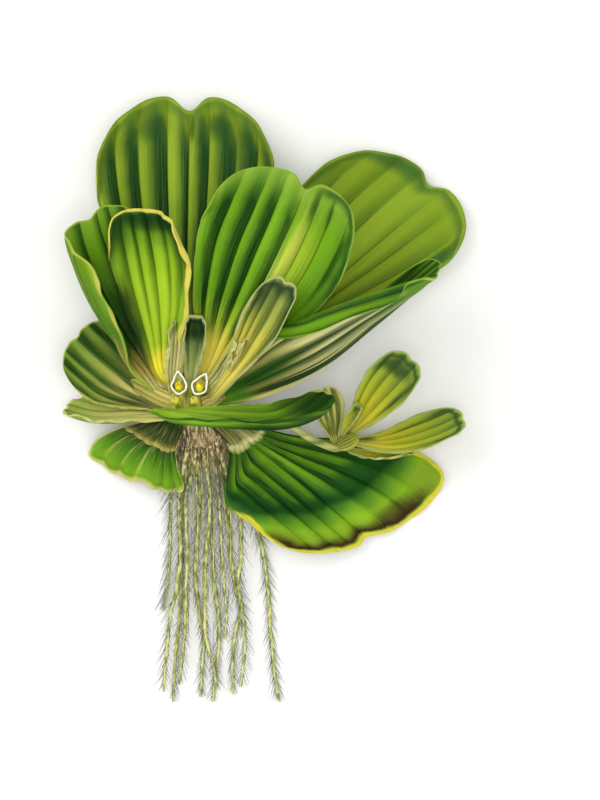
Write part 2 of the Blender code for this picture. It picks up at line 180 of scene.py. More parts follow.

# %% [markdown]
# ## Shader sums as Python sums
#
# Leaf colour follows the blade: painted light on top of each pad, painted shade in the
# valleys, cream at the margin. That takes many small sums over the surface. `Field` wraps a
# node socket, so that `1 - mask` or `a * b` adds the Math node for us, and `Finish` holds one material.


# %% Fields
class Field:
    """A number or colour that changes over a surface."""

    def __init__(self, finish, socket):
        self.finish = finish
        self.socket = socket

    def sum_with(self, kind, *terms):
        return self.finish.node("ShaderNodeMath", {"operation": kind}, dict(enumerate(terms)))

    def __add__(self, other):
        return self.sum_with("ADD", self, other)

    def __sub__(self, other):
        return self.sum_with("SUBTRACT", self, other)

    def __rsub__(self, other):
        return self.sum_with("SUBTRACT", other, self)

    def __mul__(self, other):
        return self.sum_with("MULTIPLY", self, other)

    def __pow__(self, other):
        return self.sum_with("POWER", self, other)

    def __mod__(self, other):
        return self.sum_with("MODULO", self, other)

    def __abs__(self):
        return self.sum_with("ABSOLUTE", self)

    def higher(self, other):
        return self.sum_with("MAXIMUM", self, other)

    __radd__ = __add__
    __rmul__ = __mul__


print("fields are ready")

# %% Finishes
SHEEN = 0.08


class Finish:
    """A Principled material that is written as expressions. A colour is a field, or three
    numbers of the paint box."""

    def __init__(self, name, roughness):
        self.material = bpy.data.materials.new(name)
        self.material.use_nodes = True
        self.tree = self.material.node_tree
        self.shader = self.tree.nodes["Principled BSDF"]
        self.shader.inputs["Roughness"].default_value = roughness
        self.shader.inputs["Specular IOR Level"].default_value = SHEEN

    def node(self, kind, settings, values, output=0):
        made = self.tree.nodes.new(kind)
        for key, value in settings.items():
            if key == "stops":
                ramp = made.color_ramp
                while len(ramp.elements) < len(value):
                    ramp.elements.new(0.5)
                for element, (position, colour) in zip(ramp.elements, value):
                    element.position = position
                    element.color = ink(*colour)
            else:
                setattr(made, key, value)
        for key, value in values.items():
            if isinstance(value, Field):
                self.tree.links.new(value.socket, made.inputs[key])
            else:
                made.inputs[key].default_value = value
        return Field(self, made.outputs[output])

    def mix(self, share, first, second, blend="MIX"):
        first, second = (side if isinstance(side, Field) else ink(*side) for side in (first, second))
        settings = {"data_type": "RGBA", "blend_type": blend, "clamp_factor": True}
        return self.node("ShaderNodeMix", settings, {0: share, 6: first, 7: second}, 2)

    def step(self, field, low, high):
        """Rises smoothly from 0 to 1 while the field goes from low to high."""
        return self.node("ShaderNodeMapRange", {"interpolation_type": "SMOOTHSTEP"},
                         {0: field, 1: low, 2: high, 3: 0.0, 4: 1.0})

    def ramp(self, field, stops):
        return self.node("ShaderNodeValToRGB", {"stops": stops}, {0: field})

    def spot(self):
        """The place on the piece, in metres."""
        return self.node("ShaderNodeTexCoord", {}, {}, 3)

    def axis(self, vector, index):
        return self.node("ShaderNodeSeparateXYZ", {}, {0: vector}, index)

    def speckle(self, vector, scale, detail=3.0):
        return self.node("ShaderNodeTexNoise", {}, {"Vector": vector, "Scale": scale, "Detail": detail,
                                                    "Roughness": 0.55})

    def streaks(self, squeeze):
        """Specks that are squeezed along each axis, so that they run as fibres do."""
        return self.speckle(self.node("ShaderNodeMapping", {}, {0: self.spot(), 3: squeeze}), 1.0)

    def done(self, colour, height, depth_mm, strength):
        """Paints the surface, raises it by the height, and gives the material."""
        self.tree.links.new(colour.socket, self.shader.inputs["Base Color"])
        raised = self.node("ShaderNodeBump", {}, {"Height": height, "Distance": depth_mm * MM,
                                                  "Strength": strength})
        self.tree.links.new(raised.socket, self.shader.inputs["Normal"])
        return self.material


print("finishes are ready")

# %% [markdown]
# ## How a leaf is planned
#
# A leaf of this plant is a wedge: narrow and thick at the foot, broad and thin at the tip,
# with swollen pads between its ribs. A flat grid is the plainest start. No operator lays a
# grid along a curling spine, so `leaf_surface` works out where each point of the grid goes.
# The plans hold the spine, the way the face looks, the half widths and how far each half
# curls up. Real ribs are never quite even, so `rib_count` bunches them a little. The foot
# runs on into the crown, so that no cut end shows.


# %% The plan of a leaf
@dataclass
class Leaf:
    """One leaf, in millimetres and degrees. Pairs are for the left and the right half."""

    name: str
    spine: tuple
    facing: tuple  # which way the face looks, at the foot and at the tip
    width: tuple
    cup: tuple  # how far each half curls up
    lip: tuple = (0, 0)  # how far its outer third rolls on
    widest: tuple = (0.8, 0.8)  # the place along where the half is widest
    swell: tuple = (1.3, 1.3)  # how late the half widens
    foot: float = 6.0  # half the width of the foot
    rounding: float = 0.25  # how much less far the margins reach than the middle
    notch: float = 0.05  # how deep the tip is cut in
    skew: float = 0.0  # how much further the right half reaches
    tip_lift: float = 0.0
    ribs: int = 7
    relief: float = 2.0
    thick: tuple = (2.6, 1.2)  # at the foot and at the tip
    wave: float = 0.5  # height of the waves along the margin
    fold: tuple = (0.0, 0.0)  # where a crease runs across the blade, and its height
    dive: float = 4.0  # how far the foot runs on into the crown


print("a leaf's plan has", len(Leaf.__dataclass_fields__), "values")

# %% Curves and directions
STEPS_BETWEEN = 20


def ease(x):
    x = np.clip(x, 0, 1)
    return x * x * (3 - 2 * x)


def unit(vectors):
    return vectors / np.linalg.norm(vectors, axis=-1, keepdims=True)


def length_of(path):
    return np.linalg.norm(np.diff(path, axis=0), axis=1).sum()


def smooth_path(points, count=80):
    """Points along a curve through the given ones, evenly spaced."""
    points = np.array(points, float)
    padded = np.vstack([2 * points[0] - points[1], points, 2 * points[-1] - points[-2]])
    found = []
    for before, start, end, after in zip(padded, padded[1:], padded[2:], padded[3:]):
        for s in np.linspace(0, 1, STEPS_BETWEEN, endpoint=False):
            found.append(start + 0.5 * s * (end - before + s * (2 * before - 5 * start + 4 * end - after
                         + s * (3 * start - 3 * end + after - before))))
    found = np.array(found + [points[-1]])
    length = np.concatenate([[0], np.cumsum(np.linalg.norm(np.diff(found, axis=0), axis=1))])
    even = np.linspace(0, length[-1], count)
    return np.stack([np.interp(even, length, axis) for axis in found.T], axis=1)


print("a bent path of 3 points:", len(smooth_path(((0, 0, 0), (5, 2, 0), (9, 0, 0)))), "points")

# %% Pads, waves and creases
UNEVEN = 0.03  # how far the ribs stray from even spacing
PAD_FLATNESS, VALLEY_LEVEL = 0.75, 0.6
FOOT_FADE, PAD_FADE = 0.15, 0.12
PAD_END, PAD_SIDE = 1.02, 1.03
TIP_START, TIP_RUN = 0.86, 0.14
WAVE_START, WAVE_FADE = 0.75, 0.25
TIP_WAVES, SIDE_WAVES = 17, 19
CREASE_WIDTH = 0.018


def rib_count(leaf, u):
    """How many pads lie to the left of u. The whole numbers are the valleys."""
    rng = np.random.default_rng(len(leaf.name) * 31 + leaf.ribs)
    share = (u + 1) / 2
    for k in (1, 2, 3):
        share = share + rng.uniform(-UNEVEN, UNEVEN) / k * np.sin(2 * np.pi * k * (u + 1) / 2)
    return share * leaf.ribs


def relief_of(leaf, u, v, t):
    """How high the face stands off the plain blade. The pads fade towards the foot and the
    margins, and the waves towards the middle."""
    out = np.abs(u)
    pads = np.abs(np.sin(np.pi * rib_count(leaf, u))) ** PAD_FLATNESS - VALLEY_LEVEL
    raised = leaf.relief * pads * ease(t / FOOT_FADE)
    raised = raised * ease((PAD_END - v) / PAD_FADE) * ease((PAD_SIDE - out) / PAD_FADE)
    raised = raised + leaf.tip_lift * ease((v - TIP_START) / TIP_RUN)
    tip_waves = np.sin(TIP_WAVES * u + 5 * v) * ease((v - WAVE_START) / WAVE_FADE)
    side_waves = np.sin(SIDE_WAVES * v + 1) * ease((out - WAVE_START) / WAVE_FADE) * ease(t / 0.3)
    raised = raised + leaf.wave * (tip_waves + side_waves)
    if leaf.fold[1]:
        raised = raised + leaf.fold[1] * np.exp(-((v - leaf.fold[0]) / CREASE_WIDTH) ** 2)
    return raised


print("relief is ready")

# %% How the halves curl
FOOT_CUP = 0.3  # the share of its cup that the foot has
CUP_STEEPNESS = 1.25
CURL_GROWS = 0.4  # the share of the length over which it grows to the whole
LIP_START, LIP_RUN = 0.66, 0.3
CURL_STEPS = 16


def of_half(u, pair):
    return np.where(u > 0, pair[1], pair[0])


def half_width(leaf, u, t, dive):
    grown = np.sin(np.pi / 2 * np.clip(t / of_half(u, leaf.widest), 0, 1)) ** of_half(u, leaf.swell)
    return leaf.foot * (1 + 0.4 * np.clip(t, None, 0) / dive) + (of_half(u, leaf.width) - leaf.foot) * grown


def curl(leaf, u, t, half):
    """How far out and how far up each point comes, and how the blade is turned there."""
    cup = np.radians(of_half(u, leaf.cup)) * (FOOT_CUP + (1 - FOOT_CUP) * ease(t / CURL_GROWS))
    lip = np.radians(of_half(u, leaf.lip)) * ease((t - 0.1) / CURL_GROWS)

    def turn_at(out):
        return cup * ease(CUP_STEEPNESS * out) + lip * ease((out - LIP_START) / LIP_RUN)

    across, height = np.zeros_like(t), np.zeros_like(t)
    for k in range(CURL_STEPS):
        turn = turn_at(np.abs(u) * (k + 0.5) / CURL_STEPS)
        across = across + half * np.abs(u) / CURL_STEPS * np.cos(turn)
        height = height + half * np.abs(u) / CURL_STEPS * np.sin(turn)
    return across, height, turn_at(np.abs(u))


print("a lip rolls on from", LIP_START, "of the half")

# %% Where each point of the blade goes
TIP_CURVE = 2.6  # the higher, the blunter the tip
NOTCH_WIDTH = 0.13
THIN_FROM = 0.7  # the share of the length where the blade has its tip's thickness
MARGIN_THINS_OVER = 3


def directions(leaf, path):
    """The ways to the side and off the face, at each point of the spine."""
    share = np.linspace(0, 1, len(path))[:, None]
    run = unit(np.gradient(path, axis=0))
    facing = unit(np.array(leaf.facing[0]) + share * np.subtract(leaf.facing[1], leaf.facing[0]))
    facing = unit(facing - run * (facing * run).sum(axis=1, keepdims=True))
    return np.cross(run, facing), facing


def at_share(values, t):
    """The values at the share t of the way, and straight on past both ends."""
    steps = len(values) - 1
    over = np.clip(t - 1, 0, None)[..., None] * (values[-1] - values[-2]) * steps
    under = np.clip(t, None, 0)[..., None] * (values[1] - values[0]) * steps
    inside = [np.interp(t, np.linspace(0, 1, len(values)), axis) for axis in values.T]
    return np.stack(inside, axis=-1) + over + under


def leaf_surface(leaf, u, v):
    """The middle of the blade at u from -1 at the left margin to 1 at the right, and v from
    0 at the foot to 1 at the tip. It returns the points, the thickness there, how far the
    margin is, and v counted from where the crown ends."""
    reach = 1 - leaf.rounding * (1 - np.sqrt(1 - np.abs(u) ** TIP_CURVE))
    reach = reach - leaf.notch * np.exp(-(u / NOTCH_WIDTH) ** 2) + leaf.skew * u
    path = smooth_path(leaf.spine)
    length = length_of(path)
    dive = leaf.dive / length
    v = v * (1 + dive) - dive
    t = v * reach
    half = half_width(leaf, u, t, dive)
    across, height, turn = curl(leaf, u, t, half)
    raised = relief_of(leaf, u, v, t)
    across = across - raised * np.sin(turn)
    height = height + raised * np.cos(turn)
    side, facing = directions(leaf, path)
    points = at_share(path, t) + (np.sign(u) * across)[..., None] * at_share(side, t)
    points = points + height[..., None] * at_share(facing, t)
    margin = np.minimum(half * (1 - np.abs(u)), (1 - v) * reach * length)
    body = 1 - ease(np.maximum(v, np.abs(u)) / 0.9 - 0.1)
    stout, thin = leaf.thick
    thick = thin + (stout - thin) * (1 - ease(t / THIN_FROM)) * (0.4 + 0.6 * body)
    return points, thick * (0.5 + 0.5 * ease(margin / MARGIN_THINS_OVER)), margin, v


print("leaf_surface is ready")

# %% [markdown]
# ## The leaf's colours
#
# Two maps lie on every blade. "blade" holds the place across and along it, and "pads" the
# count of pads and the distance to the margin in millimetres. Each side of a leaf then has
# two runs of colour from foot to tip: one for the crests of the pads and one for the
# valleys. On most leaves the valley colour is painted shade, and it spreads over the right
# side of its pad as if lit from the left. Streaks along the blade stand for the fine veins.
# Soft spots of another colour lie where the leaf has them, and most dark spots are painted
# shade, under rims and lobes and where a neighbour shades the blade. A spot is its middle,
# its radii across and along, its colour and its strength. A ring of colour lies inside the
# margin between two distances, past a place along and a place across. It is a scorched edge
# on one leaf and painted shade under a rolled rim on the others.

# %% Blade finish
DRIFT_SCALE = 60.0
VEINS_ACROSS, VEINS_ALONG = 120, 4
SPOT_CORE, SPOT_EDGE = 0.3, 1.1  # shares of a spot's radii
END_FADE, SIDE_FADE = 0.12, 0.1  # how softly a ring ends ahead and beside
BARE_FADE = 0.05


class BladeFinish(Finish):
    """A finish that knows where on a blade it is, and how to lay spots and rings there."""

    def __init__(self, name, stripes):
        super().__init__(name, 0.6)
        blade = self.node("ShaderNodeUVMap", {"uv_map": "blade"}, {})
        pads = self.node("ShaderNodeUVMap", {"uv_map": "pads"}, {})
        self.across = self.axis(blade, 0)
        self.along = self.axis(blade, 1)
        self.count = self.axis(pads, 0) * stripes
        self.edge = self.axis(pads, 1)
        self.drift = self.speckle(self.spot(), DRIFT_SCALE) - 0.5
        veins = self.node("ShaderNodeCombineXYZ", {},
                          {0: self.across * VEINS_ACROSS, 1: self.along * VEINS_ALONG, 2: self.drift})
        self.streak = self.speckle(veins, 1.0) - 0.5

    def lay_spots(self, body, spots):
        for u, v, wide, long, colour, amount in spots:
            beside, ahead = (self.across - u) * (1 / wide), (self.along - v) * (1 / long)
            far = (beside * beside + ahead * ahead) ** 0.5
            spread = 1 - self.step(far + self.drift * 0.5 + self.streak * 0.6, SPOT_CORE, SPOT_EDGE)
            body = self.mix(spread * amount, body, colour)
        return body

    def lay_ring(self, body, near, far, ahead, beside, colour, amount):
        wander = self.edge + self.drift * (far - near) + self.streak * 2
        band = self.step(wander, near - 0.8, near + 0.6) * (1 - self.step(wander, near + 0.6, far))
        band = band * self.step(self.along, ahead - END_FADE, ahead + END_FADE)
        band = band * self.step(self.across, beside - SIDE_FADE, beside + SIDE_FADE)
        return self.mix(band * amount, body, colour)

    def rim(self, margin_mm, thicker, bare):
        """Where the margin is painted."""
        distance = self.edge + self.drift * margin_mm * 2 - (self.across - 0.5) * thicker * margin_mm
        rim = 1 - self.step(distance, 0.5 * margin_mm, margin_mm)
        left, right, top = bare
        if top:
            inside = self.step(self.across, left - 0.02, left) - self.step(self.across, right, right + 0.02)
            rim = rim * (1 - inside * (1 - self.step(self.along, top - BARE_FADE, top + BARE_FADE)))
        return rim


print("blade finish is ready")

# %% One side of a blade
PAD_TINT = (216, 224, 190)
# how fully the valley line takes the valley colour, painted shade on most leaves
FURROW_DARKNESS = 0.95
SUNLIT = 0.75  # how much of the shade the sun takes away
RIM_COVER = 0.92
CORNER_RUN = (0.15, 0.36)  # where along the blade a corner begins, and where it is full
BOW_RUN = (0.5, 0.85)
VEIN_DEPTH_MM, VEIN_STRENGTH = 0.25, 0.7


# On most leaves the valley run is painted shade, over each valley's line and the right side of each pad.
def blade_side(name, crest, valley,  # the two runs of colour
               shade=0.5,  # how dark the shaded side of a pad is
               line=0.1,  # how wide the dark line in a valley is
               lean=0.3, reach=0.95,  # where across a pad the shade begins, and where it is full
               margin=CREAM, margin_mm=0.8,
               thicker=0.0,  # how much wider the margin is on the right
               bare=(0, 0, 0),  # no margin between two places across, up to a place along
               tints=(), patches=(),  # spots on the crests alone, and over everything
               # a band inside the margin: painted shade under a rim, and on one leaf a scorched edge
               ring=None,
               arch=0.05,  # how far the runs of colour bow on each pad
               corner=0.0,  # how far they also bend along the right margin
               ragged=0.06,  # how far streaks pull them out
               sunny=None,  # between which places across the shade fades
               stripes=1.0):  # how many dark lines come with each pad
    finish = BladeFinish(name, stripes)
    across, along, drift, streak = finish.across, finish.along, finish.drift, finish.streak
    local = finish.count % 1.0
    tone = finish.node("ShaderNodeTexWhiteNoise", {"noise_dimensions": "1D"},
                       {"W": finish.count - local + 0.5})
    bow = abs(local - 0.5) * 2
    level = along
    if corner:
        level = (along ** 4 + (across * corner * finish.step(along, *CORNER_RUN)) ** 4) ** 0.25
    level = level + drift * 0.1 + streak * ragged + bow * bow * finish.step(along, *BOW_RUN) * arch
    # painted shade over the right side of each pad; sunny fades it where the sun is painted
    side = finish.step(local + drift * 0.3 + tone * 0.2 - 0.1, lean, reach)
    if sunny:
        side = side * (1 - SUNLIT * finish.step(across, *sunny))
    # the line along each valley, painted shade where the valley colour is dark
    furrow = 1 - finish.step(0.5 - bow * 0.5, 0.0, line)
    dark = (side * shade).higher(furrow * FURROW_DARKNESS) + streak * (1.4 - along)
    body = finish.mix(dark, finish.lay_spots(finish.ramp(level, crest), tints), finish.ramp(level, valley))
    # spots over everything: mostly painted shade, a few the leaf's own colour
    body = finish.lay_spots(finish.mix(tone * 0.5, body, PAD_TINT, "MULTIPLY"), patches)
    if ring:
        body = finish.lay_ring(body, *ring)
    rim = finish.rim(margin_mm, thicker, bare)
    body = finish.mix(rim * RIM_COVER, body, finish.mix(streak + 0.4, margin, OLIVE))
    return finish.done(body, streak + drift * 0.4, VEIN_DEPTH_MM, VEIN_STRENGTH)


print("blade_side is ready")

# %% [markdown]
# ## From grid to leaf
#
# The grid is added with an operator, laid along its spine, and given its thickness with
# Solidify. Solidify can hand the underside a material of its own, which is what a leaf
# needs. Last, the points are held inside the box of the solids, whose floor is the table, so
# a leaf that rests there is pressed flat.


# %% Pick, shape and name a piece
def pick(*pieces):
    """Selects these pieces alone and makes the last one active. With none, nothing is left
    selected."""
    bpy.ops.object.select_all(action="DESELECT")
    for piece in pieces:
        piece.select_set(True)
        bpy.context.view_layer.objects.active = piece


def apply_all(piece):
    pick(piece)
    for modifier in list(piece.modifiers):
        bpy.ops.object.modifier_apply(modifier=modifier.name)


def move_points(piece, points):
    piece.data.vertices.foreach_set("co", np.ascontiguousarray(points, np.float32).ravel())
    piece.data.update()


def read_points(piece):
    flat = np.empty(len(piece.data.vertices) * 3, np.float32)
    piece.data.vertices.foreach_get("co", flat)
    return flat.reshape(-1, 3).astype(float)


def stand_for(piece, node):
    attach(piece, "root")
    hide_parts(node)


print("helpers are ready")


# %% Make one leaf
def lay_map(piece, name, across, along):
    """A UV map that holds two numbers for each point of the mesh."""
    layer = piece.data.uv_layers.get(name) or piece.data.uv_layers.new(name=name)
    corners = np.empty(len(piece.data.loops), np.int32)
    piece.data.loops.foreach_get("vertex_index", corners)
    both = np.stack([across[corners], along[corners]], axis=1)
    layer.data.foreach_set("uv", both.astype(np.float32).ravel())


def make_leaf(leaf, face, underside, cells=(96, 60), node=True):
    pick()
    bpy.ops.mesh.primitive_grid_add(x_subdivisions=cells[0], y_subdivisions=cells[1], size=2)
    blade = bpy.context.object
    blade.name = leaf.name + "_blade"
    blade.data.uv_layers[0].name = "blade"
    flat = read_points(blade)
    u, v = flat[:, 0].clip(-1, 1), (flat[:, 1] + 1) / 2
    points, thick, margin, v = leaf_surface(leaf, u, v)
    move_points(blade, place(points))
    lay_map(blade, "blade", (u + 1) / 2, v.clip(0, 1))
    lay_map(blade, "pads", rib_count(leaf, u), margin)
    group = blade.vertex_groups.new(name="thickness")
    for index, share in enumerate(thick / max(leaf.thick)):
        group.add([index], float(share), "REPLACE")
    for material in (face, underside):
        blade.data.materials.append(material)
    wall = blade.modifiers.new("thickness", "SOLIDIFY")
    wall.thickness = max(leaf.thick) * MM
    wall.offset = 0
    wall.vertex_group = "thickness"
    wall.material_offset = 1
    apply_all(blade)
    move_points(blade, within_box(read_points(blade)))
    bpy.ops.object.shade_smooth_by_angle(angle=math.radians(60))
    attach(blade, "root")
    if node:
        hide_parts(leaf.name)
    print(blade.name, len(blade.data.polygons), "faces")


print("make_leaf is ready")

# %% [markdown]
# ## The two old leaves at the back
#
# They lie flat on the table behind the others. Their pads are dull olive green, with painted
# light along the left and painted shade along the right, and a turned rim runs round the tip
# with painted shade under it.

# %% Plans of the back leaves
back_left = Leaf(
    "back_leaf_left",
    ((-1, 6.5, 19), (-2, 30, 9), (-2, 64, 1.3), (-1.5, 100, 3), (-1, 126, 11)),
    ((0, -0.25, 1), (0, -0.3, 1)), (41, 38), (26, 24), widest=(0.86, 0.86), foot=6.5, rounding=0.27,
    notch=0.055, tip_lift=2.5, ribs=8)
back_right = Leaf(
    "back_leaf_right",
    ((9.9, 4.2, 20.6), (28, 25, 13.5), (52, 50, 6), (77, 74, 0.6), (98, 92, 3.5)),
    ((-0.2, -0.2, 1), (-0.1, -0.15, 1)), (37, 31), (22, 16), widest=(0.82, 0.95), swell=(1.3, 2.6), foot=5,
    rounding=0.24, notch=0.03, skew=0.05, tip_lift=1.5, ribs=7, relief=1.4)
UNDERSIDE = blade_side(
    "leaf_underside",
    [(0.0, CREAM), (0.35, PALE), (1.0, (150, 172, 80))],
    [(0.0, GREY_GREEN), (0.4, SLATE), (1.0, (90, 124, 50))],
    shade=0.4, line=0.2)
print("the underside's finish:", UNDERSIDE.name)

# %% Back left leaf
# Painted shade: the dark valley run on the right of each pad, the ring under the turned rim, and the dark
# spots by the notch, under the lobes and along the right margin.
back_left_face = blade_side(
    "back_left_face",
    [(0.0, OCHRE), (0.28, (190, 170, 84)), (0.38, (116, 150, 40)), (0.6, (140, 172, 42)),
     (0.86, (156, 182, 50)), (1.0, (146, 170, 52))],
    [(0.0, (96, 92, 44)), (0.28, (74, 90, 36)), (0.38, DARK), (0.55, (18, 56, 28)), (0.88, (30, 78, 36)),
     (0.95, (74, 112, 44)), (1.0, OLIVE)],
    shade=0.95, lean=0.12, reach=0.75, margin=(96, 122, 44), margin_mm=0.5, arch=0.1,
    ring=(1.5, 9, 0.8, -1, (66, 104, 40), 0.6),
    patches=((0.52, 0.93, 0.02, 0.06, DARK, 0.6), (0.31, 0.9, 0.09, 0.07, (34, 80, 38), 0.6),
             (0.66, 0.9, 0.09, 0.07, (34, 80, 38), 0.7), (0.82, 0.84, 0.09, 0.18, (36, 78, 34), 0.65)))
make_leaf(back_left, back_left_face, UNDERSIDE, (120, 70))

# %% Back right leaf
# Painted shade: the dark valley run, the ring and the first two spots under the rim and by the right margin;
# the broad low spot is the painted shadow of the leaves above it.
back_right_face = blade_side(
    "back_right_face",
    [(0.0, LEAF), (0.3, (116, 142, 34)), (0.6, (134, 158, 36)), (1.0, (138, 164, 40))],
    [(0.0, DARK), (0.4, (20, 58, 18)), (0.6, (46, 84, 24)), (0.8, (72, 110, 30)), (0.92, (108, 142, 38)),
     (1.0, (132, 160, 40))],
    shade=0.55, line=0.09, lean=0.4, margin=(92, 122, 44), margin_mm=0.5,
    ring=(1.5, 7.0, 0.8, -1, (56, 96, 38), 0.7),
    patches=((0.32, 0.975, 0.26, 0.05, (42, 90, 38), 0.65), (0.93, 0.86, 0.05, 0.16, (40, 88, 44), 0.8),
             (0.60, 0.30, 0.4, 0.22, (24, 62, 18), 0.85)))
make_leaf(back_right, back_right_face, UNDERSIDE, (110, 70))

# %% [markdown]
# ## The middle leaf
#
# The freshest leaf: bright green pads that turn sulphur yellow at the foot, and a right half
# in painted sun beside a pale midrib with a painted highlight. It stands higher than the back
# leaves and shades them.

# %% Middle leaf
middle = Leaf(
    "middle_leaf",
    ((5, 9.8, 28), (13, 23, 33), (21, 36, 39), (29, 50, 43), (38, 69, 45), (47, 91, 42)),
    ((-0.1, -0.7, 1), (-0.1, -0.2, 1)), (34, 29), (15, 30), widest=(0.7, 0.78), foot=5, rounding=0.26,
    notch=0.05, tip_lift=1.5, ribs=8)
# Painted shade: the valley run, the ring under the right lobe's rim, and the dark spots under the lobes and
# by the right margin. On the right half the shade fades and the tints paint the pads lighter, as in sun; the
# thin pale spot is the midrib with a painted highlight.
middle_face = blade_side(
    "middle_face",
    [(0.0, (255, 244, 120)), (0.2, (255, 240, 96)), (0.3, (170, 196, 50)), (0.4, (112, 162, 26)),
     (0.86, (116, 168, 24)), (0.93, (120, 160, 42)), (1.0, (138, 172, 58))],
    [(0.0, (240, 216, 96)), (0.18, (226, 204, 76)), (0.28, (70, 104, 28)), (0.4, (18, 58, 14)),
     (0.87, (18, 62, 14)), (0.93, (78, 124, 34)), (1.0, (122, 160, 50))],
    shade=0.95, lean=0.1, reach=0.8, line=0.12, sunny=(0.46, 0.54), margin=(122, 156, 60), margin_mm=0.6,
    ragged=0.14,
    ring=(1.0, 6.5, 0.66, 0.6, (22, 70, 18), 0.85),
    tints=((0.58, 0.50, 0.07, 0.5, (206, 214, 84), 0.9), (0.68, 0.5, 0.1, 0.44, (160, 192, 46), 0.9)),
    patches=((0.60, 0.90, 0.035, 0.09, DEEP, 0.8), (0.73, 0.90, 0.035, 0.09, DEEP, 0.75),
             (0.90, 0.74, 0.05, 0.2, (20, 66, 18), 0.85), (0.505, 0.5, 0.012, 0.42, (222, 224, 120), 0.9)))
make_leaf(middle, middle_face, UNDERSIDE, cells=(120, 64))

# %% [markdown]
# ## The leaves on the left
#
# The inner one is lime green with a rolled cream rim. The outer one folds like a trough: its
# left half curls up and over, so its underside shows along the edge. Below it a third one
# turns its ribbed underside up, and a fourth, low one is seen nearly from its side. Their
# plans come first, then their colours.

# %% Plans of the left leaves
left = Leaf(
    "left_leaf",
    ((-6.5, 10, 30), (-11, 16, 32.5), (-12, 31, 36), (-12.8, 44, 39), (-14.8, 60, 41), (-18.5, 79, 41)),
    ((0.1, -0.6, 1), (0.1, -0.35, 1)), (18, 19), (20, 66), widest=(0.78, 0.78), foot=3.2, rounding=0.2,
    notch=0, skew=-0.06, tip_lift=2.5, ribs=6, wave=0.7)
outer_left = Leaf(
    "outer_left_leaf",
    ((-11.2, 6.8, 26), (-17, 19, 26), (-24, 33, 27), (-31, 49, 29), (-37, 64, 33), (-41, 77, 38)),
    ((0.3, -0.4, 1), (0.3, -0.2, 1)), (32, 20), (112, 12), widest=(0.7, 0.8), foot=4.5, rounding=0.24,
    notch=0.03, skew=0.05, ribs=7, dive=6)
side_left = Leaf(
    "side_left_leaf",
    ((-11.3, -0.7, 28.3), (-19, 5.2, 23), (-29, 13.5, 20.5), (-39, 22, 19.5), (-46.6, 29, 20.5)),
    ((0, -0.2, -1), (-0.1, -0.1, -1)), (17, 16), (16, 16), widest=(0.62, 0.62), swell=(2.2, 1.8), foot=2.4,
    rounding=0.34, notch=0.02, ribs=6, relief=1.4)
low_left = Leaf(
    "low_left_leaf",
    ((-10.4, -2.6, 24.9), (-24, -2.6, 20.9), (-38, -2.6, 18), (-51, 0, 16)),
    ((0.1, 0.8, 0.6), (0.2, 0.9, 0.5)), (12, 12), (30, 10), widest=(0.7, 0.7), foot=4.5, rounding=0.3,
    notch=0.02, ribs=5, relief=1.2)
print("plans of the left side:", left.name, outer_left.name, side_left.name, low_left.name)

# %% Left leaf
LEFT_RIM = (246, 224, 108)
# Painted shade: the dark tip ends of both runs and the ring under the rolled rim, the large spot in the
# trough on the left, and the spots by the right margin and the tip.
left_face = blade_side(
    "left_face",
    [(0.0, YELLOW), (0.14, (250, 232, 64)), (0.24, (170, 196, 48)), (0.6, (162, 196, 40)),
     (0.78, (136, 176, 34)), (0.9, (84, 124, 28)), (1.0, (60, 98, 24))],
    [(0.0, GOLD), (0.2, (150, 160, 44)), (0.35, (112, 150, 34)), (0.6, (70, 112, 28)), (0.78, DARK),
     (1.0, DARK)],
    shade=0.7, lean=0.45, line=0.07, margin=LEFT_RIM, margin_mm=1.4, thicker=1.0, bare=(-1, 0.3, 0.9),
    ragged=0.16,
    ring=(1.4, 9.0, 0.84, -1, DARK, 0.8),
    patches=((0.0, 0.40, 0.23, 0.5, (14, 46, 12), 0.95), (0.87, 0.74, 0.08, 0.2, DARK, 0.75),
             (0.62, 0.93, 0.4, 0.07, DARK, 0.6)))
left_underside = blade_side(
    "left_underside",
    [(0.0, CREAM), (0.5, (222, 204, 110)), (1.0, (226, 208, 104))],
    [(0.0, OCHRE), (1.0, (160, 156, 60))],
    shade=0.3, margin=LEFT_RIM, margin_mm=1.5)
make_leaf(left, left_face, left_underside)

# %% Outer left leaf
# The large dark spot is painted shade in the trough along the midrib.
outer_left_face = blade_side(
    "outer_left_face",
    [(0.0, CREAM), (0.14, OCHRE), (0.3, (48, 88, 26)), (0.6, LEAF), (0.9, BRIGHT), (1.0, (122, 160, 46))],
    [(0.0, GREY_GREEN), (0.25, DARK), (0.8, DARK), (1.0, DEEP)],
    shade=0.85, margin=(150, 176, 66), margin_mm=0.7,
    patches=((0.58, 0.42, 0.18, 0.26, (12, 42, 14), 0.9),))
outer_left_underside = blade_side(
    "outer_left_underside",
    [(0.0, (212, 196, 114)), (0.3, (190, 172, 88)), (0.45, (112, 154, 40)), (1.0, LIME)],
    [(0.0, (112, 104, 50)), (0.3, (60, 80, 34)), (0.45, (44, 94, 24)), (1.0, DEEP)],
    shade=0.55, margin=(204, 186, 100), margin_mm=1.6)
make_leaf(outer_left, outer_left_face, outer_left_underside)

